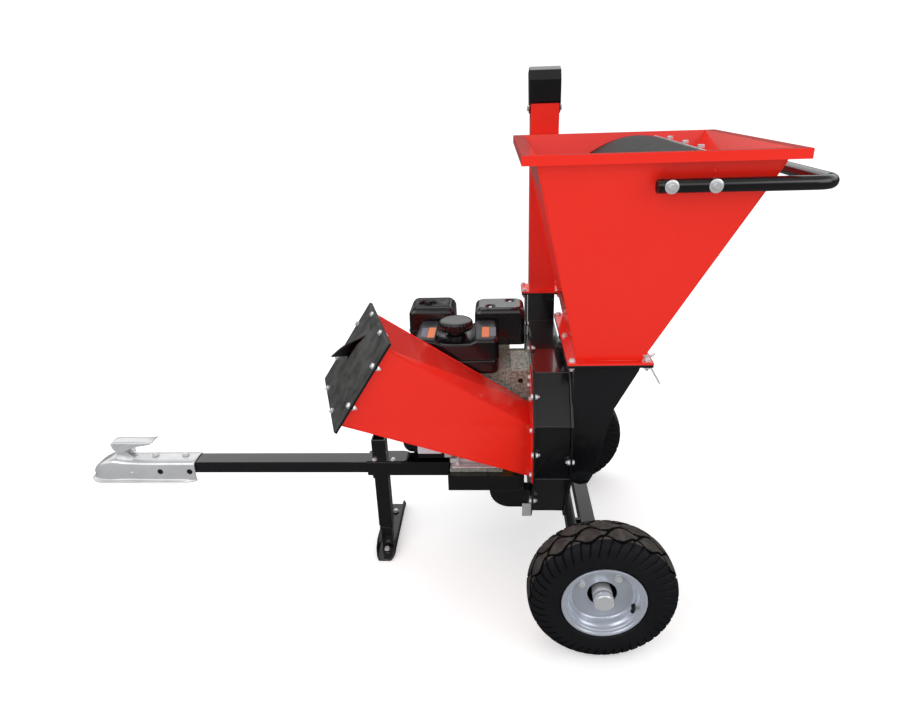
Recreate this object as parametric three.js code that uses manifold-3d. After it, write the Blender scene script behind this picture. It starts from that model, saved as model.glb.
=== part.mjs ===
// Towable wood chipper: two-wheel frame, engine, rotor housing, hopper, branch chute and tower.
// Millimetres, +Z up, +X from the coupler towards the handle, Y along the axle.
import * as THREE from "three";
import { mergeVertices } from "three/addons/utils/BufferGeometryUtils.js";
import Module from "manifold-3d";

const wasm = await Module();
wasm.setup();

// ---------------------------------------------------------------- driving dimensions
const FIT = 0.3; // gap between neighbouring parts
const SHEET = 4; // folded sheet steel
const THIN = 3; // hopper and tower sheet
const PLATE = 6; // flat plate

const TYRE_R = 203;
const TYRE_WIDTH = 125;
const TYRE_SIDES = 40;
const BEAD_INSET = 12; // rim flange inside the tyre's widest point
const TRACK_HALF = 420;
const RIM_R = 101.5;
const AXLE_Z = TYRE_R;

const ROTOR_Y = 45; // rotor and crank axis
const ROTOR_Z = 465;
const ROTOR_CENTRE = [ROTOR_Y, ROTOR_Z];
const PLATE_LIP = 16; // side plates stand out past the band
const DRUM_X = [-170, -72];
const DRUM_TOP = 714;
const DRUM = [
  // the band's corners in Y and Z, from the foot of the near face upwards
  [-217, 418],
  [-217, 591],
  [-122, DRUM_TOP],
  [160, DRUM_TOP],
  [307, 573],
  [307, 356],
  [150, 214],
  [-88, 214],
];
const INLET = { y: [-120, 170], z: [400, 640] };

const NECK_X = [-165, -76];
const NECK_Y = [318, 392];
const NECK_TOP = 818;
const TOWER_TOP = 1436;
const HOOD_RISE = 95;

const BOX_TOP = 772.7;
const BOX_Y = [-195, 195];
const HOPPER_BASE = { x: [-58, 112], y: [-188, 188], z: BOX_TOP + FIT };
const HOPPER_RIM = { x: [-188, 372], y: [-328, 302], z: 1335 };
const FLANGE_X = [-86, 144];
const FLANGE_Y = [-207, 207];
const LIP_OUT = [30, 16, 30, 8]; // rim fold past the walls at -X, -Y, +X, +Y
const LIP_DROP = 22;

const HANDLE_R = 16;
const HANDLE_X = [80, 468];
const HANDLE_Z = 1262;
const HANDLE_BEND = 46;
const HANDLE_BOLTS = [109, 204];
const BOLT_R = 5;
const GUARD = { x: 210, z: 1292 };

const BED_FRONT = -434;

const CHUTE_WALL_X = DRUM_X[0] - PLATE - FIT;
const CHUTE_ROOT = { y: [-185, -42], z: [412, 572] };
const CHUTE_MOUTH = new THREE.Vector3(-648, -268, 812);
const CHUTE_TURN = 18; // degrees in plan
const CHUTE_LIFT = 35; // degrees above level
const MOUTH_SIZE = [296, 226];
const MOUTH_PLATE = [330, 264];

const BEAM_TOP = 356;
const BEAM = { x: [-705, BED_FRONT - FIT], w: 60, h: 50 };
const BAR = { x0: -1450, w: 58, h: 40 };
const COUPLER = { back: -1280, w: 76, top: BEAM_TOP + SHEET + FIT, base: 288 };
const DOME = { x: -1580, z: 324, r: [78, 46, 56] };
const LATCH = { x: -1532, z: 400 };
const LEG = { x: -664, w: 45, wall: 4, top: 434, shoulder: 96, post: 36, foot: 6 };
const FOOT = { y: [-86, 226], w: 62, h: 42 };
const SCREW = { z: BEAM_TOP - 25, r: 6 };

const BED = { x: [BED_FRONT, -196], y: [-110, 192], z: [302, 356.7] };
const ENGINE_BASE = BED.z[1] + FIT;

// ---------------------------------------------------------------- solids
/** A geometry from points and triangles, turned to face out. */
function shell(points, faces) {
  const geometry = new THREE.BufferGeometry();
  geometry.setAttribute("position", new THREE.Float32BufferAttribute(points.flat(), 3));
  let volume = 0;
  for (const [i, j, k] of faces) {
    const a = new THREE.Vector3(...points[i]);
    const b = new THREE.Vector3(...points[j]);
    volume += a.dot(b.cross(new THREE.Vector3(...points[k])));
  }
  geometry.setIndex(faces.flatMap(([i, j, k]) => (volume < 0 ? [i, k, j] : [i, j, k])));
  return geometry;
}

/** Quads between neighbouring rings of equal count; wrapped joins the last to the first. */
function bands(rings, wrapped) {
  const count = rings[0].length;
  const faces = [];
  const last = wrapped ? rings.length : rings.length - 1;
  for (let r = 0; r < last; r += 1) {
    const next = (r + 1) % rings.length;
    for (let k = 0; k < count; k += 1) {
      const a = r * count + k;
      const b = r * count + ((k + 1) % count);
      const c = next * count + ((k + 1) % count);
      const d = next * count + k;
      faces.push([a, b, c], [a, c, d]);
    }
  }
  return faces;
}

/** A capped solid through convex rings. */
function loft(rings) {
  const count = rings[0].length;
  const end = (rings.length - 1) * count;
  const faces = bands(rings, false);
  for (let k = 1; k + 1 < count; k += 1) {
    faces.push([0, k + 1, k], [end, end + k, end + k + 1]);
  }
  return shell(rings.flat(), faces);
}

/** Puts (along, u, v) on the world axes: x gives (y, z), y gives (x, z), z gives (x, y). */
function onAxis(axis, s, u, v) {
  if (axis === "x") return [s, u, v];
  if (axis === "y") return [u, s, v];
  return [u, v, s];
}

/** A ring of points round an axis. */
function circle(axis, s, centre, radius, segments) {
  const ring = [];
  for (let k = 0; k < segments; k += 1) {
    const angle = (2 * Math.PI * (k + 0.5)) / segments;
    const u = centre[0] + radius * Math.cos(angle);
    const v = centre[1] + radius * Math.sin(angle);
    ring.push(onAxis(axis, s, u, v));
  }
  return ring;
}

/** A solid turned round an axis; each step of the profile is [radius, place along]. */
function turned(axis, centre, profile, segments = 28) {
  return loft(profile.map(([r, s]) => circle(axis, s, centre, r, segments)));
}

/** A hollow turned body from a closed loop of [radius, place along]. */
function hoop(axis, centre, profile, segments = 36) {
  const rings = profile.map(([r, s]) => circle(axis, s, centre, r, segments));
  return shell(rings.flat(), bands(rings, true));
}

const [AXIS_X, AXIS_Y, AXIS_Z] = [0, 1, 2].map((k) => new THREE.Vector3().setComponent(k, 1));

/** A prism of an outline along an axis: x takes (y, z), y takes (x, z), z takes (x, y). */
function prism(axis, outline, from, to) {
  const shape = new THREE.Shape(outline.map(([u, v]) => new THREE.Vector2(u, v)));
  const solid = new THREE.ExtrudeGeometry(shape, { depth: to - from, bevelEnabled: false });
  const turn = new THREE.Matrix4();
  if (axis === "x") turn.makeBasis(AXIS_Y, AXIS_Z, AXIS_X).setPosition(from, 0, 0);
  if (axis === "y") {
    turn.makeBasis(AXIS_X, AXIS_Z, AXIS_Y.clone().negate()).setPosition(0, to, 0);
  }
  if (axis === "z") turn.setPosition(0, 0, from);
  return solid.applyMatrix4(turn);
}

function box(x, y, z) {
  const geometry = new THREE.BoxGeometry(x[1] - x[0], y[1] - y[0], z[1] - z[0]);
  return geometry.translate((x[0] + x[1]) / 2, (y[0] + y[1]) / 2, (z[0] + z[1]) / 2);
}

/** A rectangle with rounded corners, as [u, v] points. */
function roundedRect(u, v, radius, steps = 3) {
  const points = [];
  const corners = [
    [u[1] - radius, v[1] - radius, 0],
    [u[0] + radius, v[1] - radius, 90],
    [u[0] + radius, v[0] + radius, 180],
    [u[1] - radius, v[0] + radius, 270],
  ];
  for (const [cu, cv, start] of corners) {
    for (let k = 0; k <= steps; k += 1) {
      const angle = THREE.MathUtils.degToRad(start + (90 * k) / steps);
      points.push([cu + radius * Math.cos(angle), cv + radius * Math.sin(angle)]);
    }
  }
  return points;
}

/** A box with rounded uprights and softened top and bottom edges. */
function cushion(x, y, z, radius, edge) {
  const rows = [
    [edge, z[0]],
    [0.3 * edge, z[0] + 0.3 * edge],
    [0, z[0] + edge],
    [0, z[1] - edge],
    [0.3 * edge, z[1] - 0.3 * edge],
    [edge, z[1]],
  ];
  const rings = rows.map(([inset, h]) => {
    const u = [x[0] + inset, x[1] - inset];
    const v = [y[0] + inset, y[1] - inset];
    return roundedRect(u, v, radius).map(([a, b]) => [a, b, h]);
  });
  return loft(rings);
}

/** A horizontal rectangle as a ring at height z. */
function level(x, y, z) {
  return [
    [x[0], y[0], z],
    [x[1], y[0], z],
    [x[1], y[1], z],
    [x[0], y[1], z],
  ];
}

const grown = (range, by) => [range[0] - by, range[1] + by];

/** A convex outline moved inwards by a wall thickness. */
function inset(outline, wall) {
  const centre = outline.reduce(([a, b], [u, v]) => [a + u, b + v], [0, 0]);
  const mid = new THREE.Vector2(centre[0], centre[1]).divideScalar(outline.length);
  const lines = outline.map((point, k) => {
    const from = new THREE.Vector2(...point);
    const to = new THREE.Vector2(...outline[(k + 1) % outline.length]);
    const along = to.clone().sub(from).normalize();
    const inward = new THREE.Vector2(-along.y, along.x);
    if (inward.dot(mid.clone().sub(from)) < 0) inward.negate();
    return { from: from.addScaledVector(inward, wall), along };
  });
  return lines.map((line, k) => {
    const before = lines[(k + lines.length - 1) % lines.length];
    const cross = before.along.cross(line.along);
    const gap = line.from.clone().sub(before.from);
    const reach = gap.cross(line.along) / cross;
    const corner = before.from.clone().addScaledVector(before.along, reach);
    return [corner.x, corner.y];
  });
}

// ---------------------------------------------------------------- cutting and joining
function toSolid(geometry) {
  const bare = geometry.clone();
  bare.deleteAttribute("normal");
  bare.deleteAttribute("uv");
  const merged = mergeVertices(bare, 1e-4);
  return new wasm.Manifold(
    new wasm.Mesh({
      numProp: 3,
      vertProperties: merged.attributes.position.array,
      triVerts: new Uint32Array(merged.index.array),
    }),
  );
}

function fromSolid(solid) {
  const mesh = solid.getMesh();
  const geometry = new THREE.BufferGeometry();
  geometry.setAttribute("position", new THREE.BufferAttribute(mesh.vertProperties, 3));
  geometry.setIndex(new THREE.BufferAttribute(mesh.triVerts, 1));
  return geometry;
}

function cut(geometry, ...tools) {
  let solid = toSolid(geometry);
  for (const tool of tools) solid = solid.subtract(toSolid(tool));
  return fromSolid(solid);
}

function join(...pieces) {
  let solid = toSolid(pieces[0]);
  for (const piece of pieces.slice(1)) solid = solid.add(toSolid(piece));
  return fromSolid(solid);
}

/** A round bar swept along a path of straight runs and rounded corners. */
function bentRod(points, bend, radius, steps, sides = 14) {
  const path = new THREE.CurvePath();
  let from = points[0].clone();
  for (let k = 1; k + 1 < points.length; k += 1) {
    const back = points[k - 1].clone().sub(points[k]).setLength(bend);
    const on = points[k + 1].clone().sub(points[k]).setLength(bend);
    const start = points[k].clone().add(back);
    const end = points[k].clone().add(on);
    path.add(new THREE.LineCurve3(from, start));
    path.add(new THREE.QuadraticBezierCurve3(start, points[k], end));
    from = end;
  }
  path.add(new THREE.LineCurve3(from, points[points.length - 1]));
  const round = new THREE.Shape();
  round.absarc(0, 0, radius, 0, 2 * Math.PI);
  return new THREE.ExtrudeGeometry(round, {
    steps,
    curveSegments: sides / 2,
    bevelEnabled: false,
    extrudePath: path,
  });
}

// ---------------------------------------------------------------- finishes and the group
const FINISH = {
  red: [0xd8231c, 0.28, 0.1],
  black: [0x121416, 0.32, 0.2],
  zinc: [0xc4c8cc, 0.34, 0.9],
  cast: [0x8d9092, 0.55, 0.7],
  plastic: [0x1b1c1d, 0.55, 0],
  rubber: [0x2e2f31, 0.85, 0],
  silver: [0xb4b7bb, 0.38, 0.6],
  steel: [0x84888c, 0.42, 0.9],
};

const chipper = new THREE.Group();
chipper.name = "wood_chipper";

function add(name, finish, geometry) {
  const [color, roughness, metalness] = FINISH[finish];
  const mesh = new THREE.Mesh(
    geometry,
    new THREE.MeshStandardMaterial({ color, roughness, metalness }),
  );
  mesh.name = name;
  chipper.add(mesh);
  return mesh;
}

// ---------------------------------------------------------------- wheels and axle
const SPINDLE_R = 20;
const AXLE_HALF = SPINDLE_R + 2; // square part of the axle, half its side
const HUB_HALF = 40;
const HUB_SEAT = 6; // the end cap's seat, out from the wheel's middle
const COLLAR_R = 27;

/** Tyre, rim and zinc end cap of one wheel; side is -1 for the near wheel. */
function addWheel(suffix, side) {
  const centre = [0, AXLE_Z];
  const at = (profile) => profile.map(([r, s]) => [r, side * (TRACK_HALF + s)]);
  const half = TYRE_WIDTH / 2;
  const crown = TYRE_R / Math.cos(Math.PI / TYRE_SIDES); // its flats touch the ground
  const bead = RIM_R + 2 * FIT;
  const skin = 10;
  const tyre = [
    [bead, -half + BEAD_INSET],
    [RIM_R + 15, -half + BEAD_INSET],
    [bead + 18, -half + 4],
    [bead + 42, -half],
    [crown - 26, -half + 4],
    [crown - 7, -half + 17],
    [crown, -half + 36],
    [crown, half - 36],
    [crown - 7, half - 17],
    [crown - 26, half - 4],
    [bead + 42, half],
    [bead + 18, half - 4],
    [RIM_R + 15, half - BEAD_INSET],
    [bead, half - BEAD_INSET],
    [bead + 4, half - BEAD_INSET - skin],
    [bead + 42, half - skin],
    [crown - skin - 9, half - 22],
    [crown - skin - 9, -half + 22],
    [bead + 42, -half + skin],
    [bead + 4, -half + BEAD_INSET + skin],
  ];
  add(`tyre_${suffix}`, "rubber", hoop("y", centre, at(tyre), TYRE_SIDES));

  const edge = half - BEAD_INSET - FIT;
  const barrel = [
    [RIM_R + 12, edge + 7],
    [RIM_R + 12, edge + 3],
    [RIM_R, edge + 1],
    [RIM_R, -edge - 1],
    [RIM_R + 12, -edge - 3],
    [RIM_R + 12, -edge - 7],
    [RIM_R - 4, -edge - 3],
    [RIM_R - 4, edge + 3],
  ];
  const disc = [
    [RIM_R - 2, 36],
    [RIM_R - 2, 31],
    [88, 29],
    [82, 14],
    [SPINDLE_R + FIT + 8, 14],
    [SPINDLE_R + FIT + 8, 19],
    [79, 19],
    [85, 34],
  ];
  const bore = SPINDLE_R + 1.5 * FIT;
  const recess = COLLAR_R + 7;
  const hub = [
    [recess + 5, 19],
    [recess, 19],
    [recess, HUB_SEAT],
    [bore, HUB_SEAT],
    [bore, -HUB_HALF],
    [SPINDLE_R + 12, -HUB_HALF],
    [SPINDLE_R + 12, HUB_SEAT - 9],
    [recess + 5, HUB_SEAT - 9],
  ];
  const pieces = [barrel, disc, hub].map((profile) => hoop("y", centre, at(profile), TYRE_SIDES));
  add(`rim_${suffix}`, "silver", join(...pieces));

  const seat = HUB_SEAT + 1;
  const cap = [
    [COLLAR_R, seat],
    [COLLAR_R, seat + 44],
    [COLLAR_R - 4, seat + 50],
  ];
  add(`axle_cap_${suffix}`, "zinc", turned("y", centre, at(cap), 24));
  return side * (TRACK_HALF + seat - FIT);
}

function addAxle() {
  const ends = [addWheel("near", -1), addWheel("far", 1)];
  const beamEnd = TRACK_HALF - HUB_HALF - 2;
  const spindle = turned("y", [0, AXLE_Z], ends.map((y) => [SPINDLE_R, y]), 20);
  const side = [-AXLE_HALF, AXLE_HALF];
  const square = box(side, [-beamEnd, beamEnd], side.map((d) => AXLE_Z + d));
  add("axle", "black", join(spindle, square));
  const barX = [DRUM_X[1] + PLATE + 2 * FIT, DRUM_X[1] + PLATE + 28];
  const bar = box(barX, [-190, 330], [AXLE_Z - 20, AXLE_Z + 24]);
  const cheeks = [-150, 280].map((y) =>
    box([barX[1] - 1, side[0] - FIT], [y, y + 12], [AXLE_Z - 18, AXLE_Z + 20]),
  );
  add("cross_bar", "black", join(bar, ...cheeks));
}

// ---------------------------------------------------------------- rotor housing
const SHAFT_R = 19;

/** The drum's eight-sided outline in Y and Z, by mm larger all round. */
function drumOutline(by) {
  return inset(DRUM, -by);
}

/** The neck's block from the drum's far side up to its flange, less a wall on every side. */
function neckBlock(wall, top) {
  const x = grown(NECK_X, -wall);
  const rows = [
    [[NECK_Y[0] - 96, DRUM[4][0] - 1], ROTOR_Z + 20],
    [NECK_Y, ROTOR_Z + 200],
    [NECK_Y, top],
  ];
  return loft(rows.map(([y, z]) => level(x, grown(y, -wall), z)));
}

/** The level duct from the drum's top over to the neck, less a wall on every side. */
function ductBlock(wall) {
  const y = [DRUM[3][0] - 30, NECK_Y[1] - wall];
  return box(grown(NECK_X, -wall), y, [ROTOR_Z + 150 + wall, DRUM_TOP - wall]);
}

function addHousing() {
  const outer = join(
    prism("x", drumOutline(0), DRUM_X[0], DRUM_X[1]),
    ductBlock(0),
    neckBlock(0, NECK_TOP - 1),
    box(grown(NECK_X, 24), grown(NECK_Y, 12), [NECK_TOP - PLATE, NECK_TOP]),
  );
  const hollow = prism("x", drumOutline(-SHEET), DRUM_X[0] - 1, DRUM_X[1] + 1);
  const band = cut(outer, hollow, ductBlock(SHEET), neckBlock(SHEET, NECK_TOP + 1));
  add("housing_band", "black", band);

  const face = drumOutline(PLATE_LIP);
  const leftX = [DRUM_X[0] - PLATE, DRUM_X[0] - FIT];
  const neckSide = box(leftX, [DRUM[4][0] - 9, NECK_Y[1]], [ROTOR_Z + 100, NECK_TOP - PLATE - FIT]);
  const left = join(prism("x", face, leftX[0], leftX[1]), neckSide);
  const chuteHole = box([-999, 0], CHUTE_ROOT.y, CHUTE_ROOT.z);
  const shaftHole = turned("x", ROTOR_CENTRE, [[SHAFT_R + 6, -999], [SHAFT_R + 6, 0]]);
  add("housing_plate_left", "black", cut(left, chuteHole, shaftHole));

  const right = prism("x", face, DRUM_X[1] + FIT, DRUM_X[1] + PLATE);
  add("housing_plate_right", "black", cut(right, box([-99, 0], INLET.y, INLET.z)));
}

const HOOD_PIVOT = { y: (NECK_Y[0] + NECK_Y[1]) / 2, z: TOWER_TOP - 24, r: 4 };

/** A bore along X through the hood's pivots. */
function pivotBore(by) {
  const { y, z, r } = HOOD_PIVOT;
  return turned("x", [y, z], [[r + by, -999], [r + by, 999]], 14);
}

function addTower() {
  const x = [NECK_X[0] + 2, NECK_X[1] + 1];
  const y = grown(NECK_Y, -1);
  const base = NECK_TOP + FIT;
  const skin = box(x, y, [base, TOWER_TOP]);
  const flange = box(grown(NECK_X, 24), grown(NECK_Y, 12), [base, base + PLATE]);
  const bore = box(grown(x, -THIN), grown(y, -THIN), [base - 1, TOWER_TOP + 1]);
  const slope = [
    [HOOD_PIVOT.y + 14, TOWER_TOP + 1],
    [y[1] + 9, TOWER_TOP + 1],
    [y[1] + 9, TOWER_TOP - 52],
  ];
  const tower = cut(join(skin, flange), bore, prism("x", slope, -999, 999), pivotBore(FIT));
  add("discharge_tower", "red", tower);
  addHood(x, y);
}

/** Hood over the tower's mouth, open towards +Y, turning on two bolts along X. */
function addHood(x, y) {
  const gap = 0.8;
  const foot = TOWER_TOP - 5;
  const top = TOWER_TOP + HOOD_RISE;
  const front = y[0] - gap - 3;
  const side = [
    [front, foot],
    [front, top - 38],
    [front + 14, top - 10],
    [front + 46, top],
    [y[1] + 34, top - 18],
    [y[1] + 6, foot],
    [HOOD_PIVOT.y + 22, HOOD_PIVOT.z - 16],
    [HOOD_PIVOT.y - 22, HOOD_PIVOT.z - 16],
  ];
  const inner = [
    [front + 3, foot - 99],
    [front + 3, top - 39],
    [front + 16, top - 12.5],
    [front + 46, top - 3],
    [y[1] + 90, top - 35],
    [y[1] + 90, foot - 99],
  ];
  const outside = prism("x", side, x[0] - gap - 3, x[1] + gap + 3);
  const inside = prism("x", inner, x[0] - gap, x[1] + gap);
  add("deflector_hood", "black", cut(outside, inside, pivotBore(FIT)));
  const walls = [x[0] - gap - 3, x[1] + gap + 3];
  [-1, 1].forEach((way, k) => {
    const out = walls[k];
    const bolt = [
      [HOOD_PIVOT.r, out - way * 14],
      [HOOD_PIVOT.r, out + way * FIT],
      [9, out + way * FIT],
      [9, out + way * 6],
    ];
    const centre = [HOOD_PIVOT.y, HOOD_PIVOT.z];
    add(`hood_bolt_${k + 1}`, "zinc", turned("x", centre, bolt, 14));
  });
}

// ---------------------------------------------------------------- rotor
function addRotor() {
  const disc = turned("x", ROTOR_CENTRE, [[228, -152], [228, -140]], 36);
  const boss = turned("x", ROTOR_CENTRE, [[46, -141], [46, -112]], 24);
  const shaft = turned("x", ROTOR_CENTRE, [[SHAFT_R, -212], [SHAFT_R, -104]], 20);
  const paddles = [0, 1, 2, 3].map((k) => {
    const paddle = box([-141, -84], [-5, 5], [60, 236]);
    return paddle.rotateX((Math.PI * (2 * k + 1)) / 4).translate(0, ROTOR_Y, ROTOR_Z);
  });
  const slots = [0, 1].map((k) => {
    const slot = box([-199, -99], [14, 40], [70, 200]);
    return slot.rotateX(Math.PI * k).translate(0, ROTOR_Y, ROTOR_Z);
  });
  add("rotor", "steel", join(cut(disc, ...slots), boss, shaft, ...paddles));
  for (const k of [0, 1]) {
    const blank = prism("y", [[-159, 74], [-152 - FIT, 74], [-152 - FIT, 196], [-159, 196]], -34, 10);
    const bevel = prism("z", [[-160, 11], [-160, 4], [-152, 11]], 60, 210);
    const knife = cut(blank, bevel);
    add(`knife_${k + 1}`, "zinc", knife.rotateX(Math.PI * k).translate(0, ROTOR_Y, ROTOR_Z));
  }
  const seat = DRUM_X[0];
  const bearing = [
    [48, seat],
    [48, seat + 7],
    [34, seat + 13],
    [SHAFT_R + FIT, seat + 13],
    [SHAFT_R + FIT, seat],
  ];
  add("rotor_bearing", "cast", hoop("x", ROTOR_CENTRE, bearing, 28));
}

// ---------------------------------------------------------------- inlet box and hopper
function addInletBox() {
  const wallX = DRUM_X[1] + PLATE + FIT;
  const flangeBase = BOX_TOP - 8;
  const slopeTop = HOPPER_BASE.x[1];
  const profile = [
    [wallX, flangeBase],
    [slopeTop, flangeBase],
    [slopeTop - 3, flangeBase - 14],
    [49, 634],
    [-2, 412],
    [-14, 388],
    [-40, 384],
    [wallX, 396],
  ];
  const outer = prism("y", profile, BOX_Y[0], BOX_Y[1]);
  const hollow = prism("y", inset(profile, SHEET), BOX_Y[0] + SHEET, BOX_Y[1] - SHEET);
  const flange = box(FLANGE_X, FLANGE_Y, [flangeBase - FIT, BOX_TOP]);
  const mouthX = [wallX + SHEET, slopeTop - SHEET];
  const mouth = box(mouthX, grown(BOX_Y, -SHEET - 4), [flangeBase - 12, BOX_TOP + 1]);
  const side = box([wallX - 1, wallX + SHEET + 1], INLET.y, [INLET.z[0] + 4, INLET.z[1]]);
  add("inlet_box", "black", cut(join(outer, flange), hollow, mouth, side));
}

function hopperRings(by) {
  const { x, y, z } = HOPPER_BASE;
  const rim = HOPPER_RIM;
  return [
    level(grown(x, by), grown(y, by), z + by),
    level(grown(rim.x, by), grown(rim.y, by), rim.z),
  ];
}

/** The hopper's outer skin as a full block, by mm larger all round. */
function hopperBlock(by) {
  const [low, high] = hopperRings(by);
  return loft([low, high]);
}

function addHopper() {
  const { z } = HOPPER_BASE;
  const rim = HOPPER_RIM;
  const [low, high] = hopperRings(-THIN);
  const shifted = (ring, by) => ring.map(([a, b, c]) => [a, b, c + by]);
  const inner = loft([shifted(low, -9), low, high, shifted(high, 9)]);
  const flange = box(FLANGE_X, FLANGE_Y, [z, z + PLATE]);
  const lipX = [rim.x[0] - LIP_OUT[0], rim.x[1] + LIP_OUT[2]];
  const lipY = [rim.y[0] - LIP_OUT[1], rim.y[1] + LIP_OUT[3]];
  const lip = cut(
    box(lipX, lipY, [rim.z - LIP_DROP, rim.z]),
    box(grown(lipX, -SHEET), grown(lipY, -SHEET), [rim.z - LIP_DROP - 9, rim.z - SHEET]),
  );
  const holes = HANDLE_BOLTS.map((x) =>
    turned("y", [x, HANDLE_Z], [[BOLT_R + FIT, -999], [BOLT_R + FIT, 999]], 12),
  );
  const guardBore = turned("y", [GUARD.x, GUARD.z], [[4 + FIT, -999], [4 + FIT, 999]], 12);
  add("hopper", "red", cut(join(hopperBlock(0), flange, lip), inner, ...holes, guardBore));
}

/** The Y of the hopper's near or far wall at a height. */
function wallY(side, z) {
  const k = side < 0 ? 0 : 1;
  const t = (z - HOPPER_BASE.z) / (HOPPER_RIM.z - HOPPER_BASE.z);
  return HOPPER_BASE.y[k] + t * (HOPPER_RIM.y[k] - HOPPER_BASE.y[k]);
}

function addHandle() {
  const reach = HANDLE_R + 10;
  const y = [wallY(-1, HANDLE_Z) - reach, wallY(1, HANDLE_Z) + reach];
  const corners = [
    new THREE.Vector3(HANDLE_X[0], y[0], HANDLE_Z),
    new THREE.Vector3(HANDLE_X[1], y[0], HANDLE_Z),
    new THREE.Vector3(HANDLE_X[1], y[1], HANDLE_Z),
    new THREE.Vector3(HANDLE_X[0], y[1], HANDLE_Z),
  ];
  const spacers = HANDLE_BOLTS.flatMap((x) =>
    [-1, 1].map((side) => {
      const wall = wallY(side, HANDLE_Z);
      const ends = [wall - side * 9, wall + side * (reach - HANDLE_R + 6)];
      return turned("y", [x, HANDLE_Z], ends.map((s) => [11, s]), 16);
    }),
  );
  const rail = join(bentRod(corners, HANDLE_BEND, HANDLE_R, 40), ...spacers);
  const past = corners.map((p, k) => p.clone().setX(p.x - (k === 0 || k === 3 ? 5 : 0)));
  const bore = bentRod(past, HANDLE_BEND, HANDLE_R - THIN, 40);
  add("push_handle", "black", cut(rail, bore, hopperBlock(FIT)));
}

/** Curved rubber flap across the hopper mouth. */
function addGuard() {
  const y = [wallY(-1, GUARD.z) + SHEET + 6, wallY(1, GUARD.z) - SHEET - 6];
  const rings = [];
  for (let k = 0; k <= 8; k += 1) {
    const t = k / 8;
    const x = GUARD.x + 12 - 205 * t;
    const z = GUARD.z + 18 + 48 * Math.sin(Math.PI * (0.12 + 0.72 * t)) - 46 * t;
    const taper = 26 * t;
    rings.push([
      [x, y[0] + taper, z],
      [x, y[1] - taper, z],
      [x, y[1] - taper, z + 5],
      [x, y[0] + taper, z + 5],
    ]);
  }
  const ends = [wallY(-1, GUARD.z) + THIN - 1, wallY(1, GUARD.z) - THIN + 1];
  const rod = turned("y", [GUARD.x, GUARD.z], ends.map((s) => [4, s]), 12);
  const strap = box([GUARD.x - 1, GUARD.x + 11], grown(y, -10), [GUARD.z - 2, GUARD.z + 36]);
  add("guard_flap", "rubber", join(loft(rings), strap, rod));
}

function addTab() {
  const x = [FLANGE_X[1] - 26, FLANGE_X[1] + 22];
  const under = BOX_TOP - 8 - 2 * FIT;
  const outline = [
    [x[0], under],
    [FLANGE_X[1] - 4, under],
    [x[1], under - 46],
    [x[1] - 4, under - 48],
    [FLANGE_X[1] - 8, under - 3],
    [x[0], under - 3],
  ];
  add("hopper_clip", "zinc", prism("y", outline, FLANGE_Y[0], FLANGE_Y[0] + 44));
}

// ---------------------------------------------------------------- branch chute
const TURN = THREE.MathUtils.degToRad(CHUTE_TURN);
const LIFT = THREE.MathUtils.degToRad(CHUTE_LIFT);
const CHUTE_OUT = new THREE.Vector3(
  -Math.cos(LIFT) * Math.cos(TURN),
  -Math.cos(LIFT) * Math.sin(TURN),
  Math.sin(LIFT),
);
const CHUTE_SIDE = new THREE.Vector3(-Math.sin(TURN), Math.cos(TURN), 0);
const CHUTE_UP = new THREE.Vector3().crossVectors(CHUTE_SIDE, CHUTE_OUT).negate();
if (CHUTE_UP.z < 0) CHUTE_UP.negate();

/** A point by its place across, up and out from the middle of the chute's mouth. */
function atMouth(across, up, out) {
  return CHUTE_MOUTH.clone()
    .addScaledVector(CHUTE_SIDE, across)
    .addScaledVector(CHUTE_UP, up)
    .addScaledVector(CHUTE_OUT, out)
    .toArray();
}

function mouthRing(width, height, out) {
  const [w, h] = [width / 2, height / 2];
  return [atMouth(-w, -h, out), atMouth(w, -h, out), atMouth(w, h, out), atMouth(-w, h, out)];
}

function rootRing(by, x) {
  const [y, z] = [grown(CHUTE_ROOT.y, by), grown(CHUTE_ROOT.z, by)];
  return [[x, y[0], z[0]], [x, y[1], z[0]], [x, y[1], z[1]], [x, y[0], z[1]]];
}

/** A block across the chute's axis, in the mouth's own directions. */
function mouthBlock(across, up, out) {
  const ring = (o) => [
    atMouth(across[0], up[0], o),
    atMouth(across[1], up[0], o),
    atMouth(across[1], up[1], o),
    atMouth(across[0], up[1], o),
  ];
  return loft([ring(out[0]), ring(out[1])]);
}

function addChute() {
  const wall = 3;
  const plateX = CHUTE_WALL_X - wall;
  const [w, h] = MOUTH_SIZE;
  const outer = loft([rootRing(wall, plateX), mouthRing(w, h, 0)]);
  const slim = 2 * wall;
  const inner = loft([
    rootRing(0, plateX + 9),
    rootRing(0, plateX),
    mouthRing(w - slim, h - slim, 0),
    mouthRing(w - slim, h - slim, 9),
  ]);
  const lug = [
    [CHUTE_ROOT.y[0] - 22, CHUTE_ROOT.z[0] - 17],
    [CHUTE_ROOT.y[0] - 22, CHUTE_ROOT.z[1] + 28],
    [CHUTE_ROOT.y[0] + 80, CHUTE_ROOT.z[1] + 124],
    [CHUTE_ROOT.y[1] + 20, CHUTE_ROOT.z[1] + 124],
    [CHUTE_ROOT.y[1] + 20, CHUTE_ROOT.z[0] - 20],
    [CHUTE_ROOT.y[0] + 35, CHUTE_ROOT.z[0] - 40],
  ];
  const flange = prism("x", lug, plateX, CHUTE_WALL_X);
  add("branch_chute", "red", cut(join(outer, flange), inner));

  const frame = cut(
    mouthBlock(half(MOUTH_PLATE[0]), half(MOUTH_PLATE[1]), [FIT, SHEET]),
    mouthBlock(half(w - slim), half(h - slim), [-9, 99]),
  );
  add("chute_frame", "black", frame);
}

const half = (size) => [-size / 2, size / 2];

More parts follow.
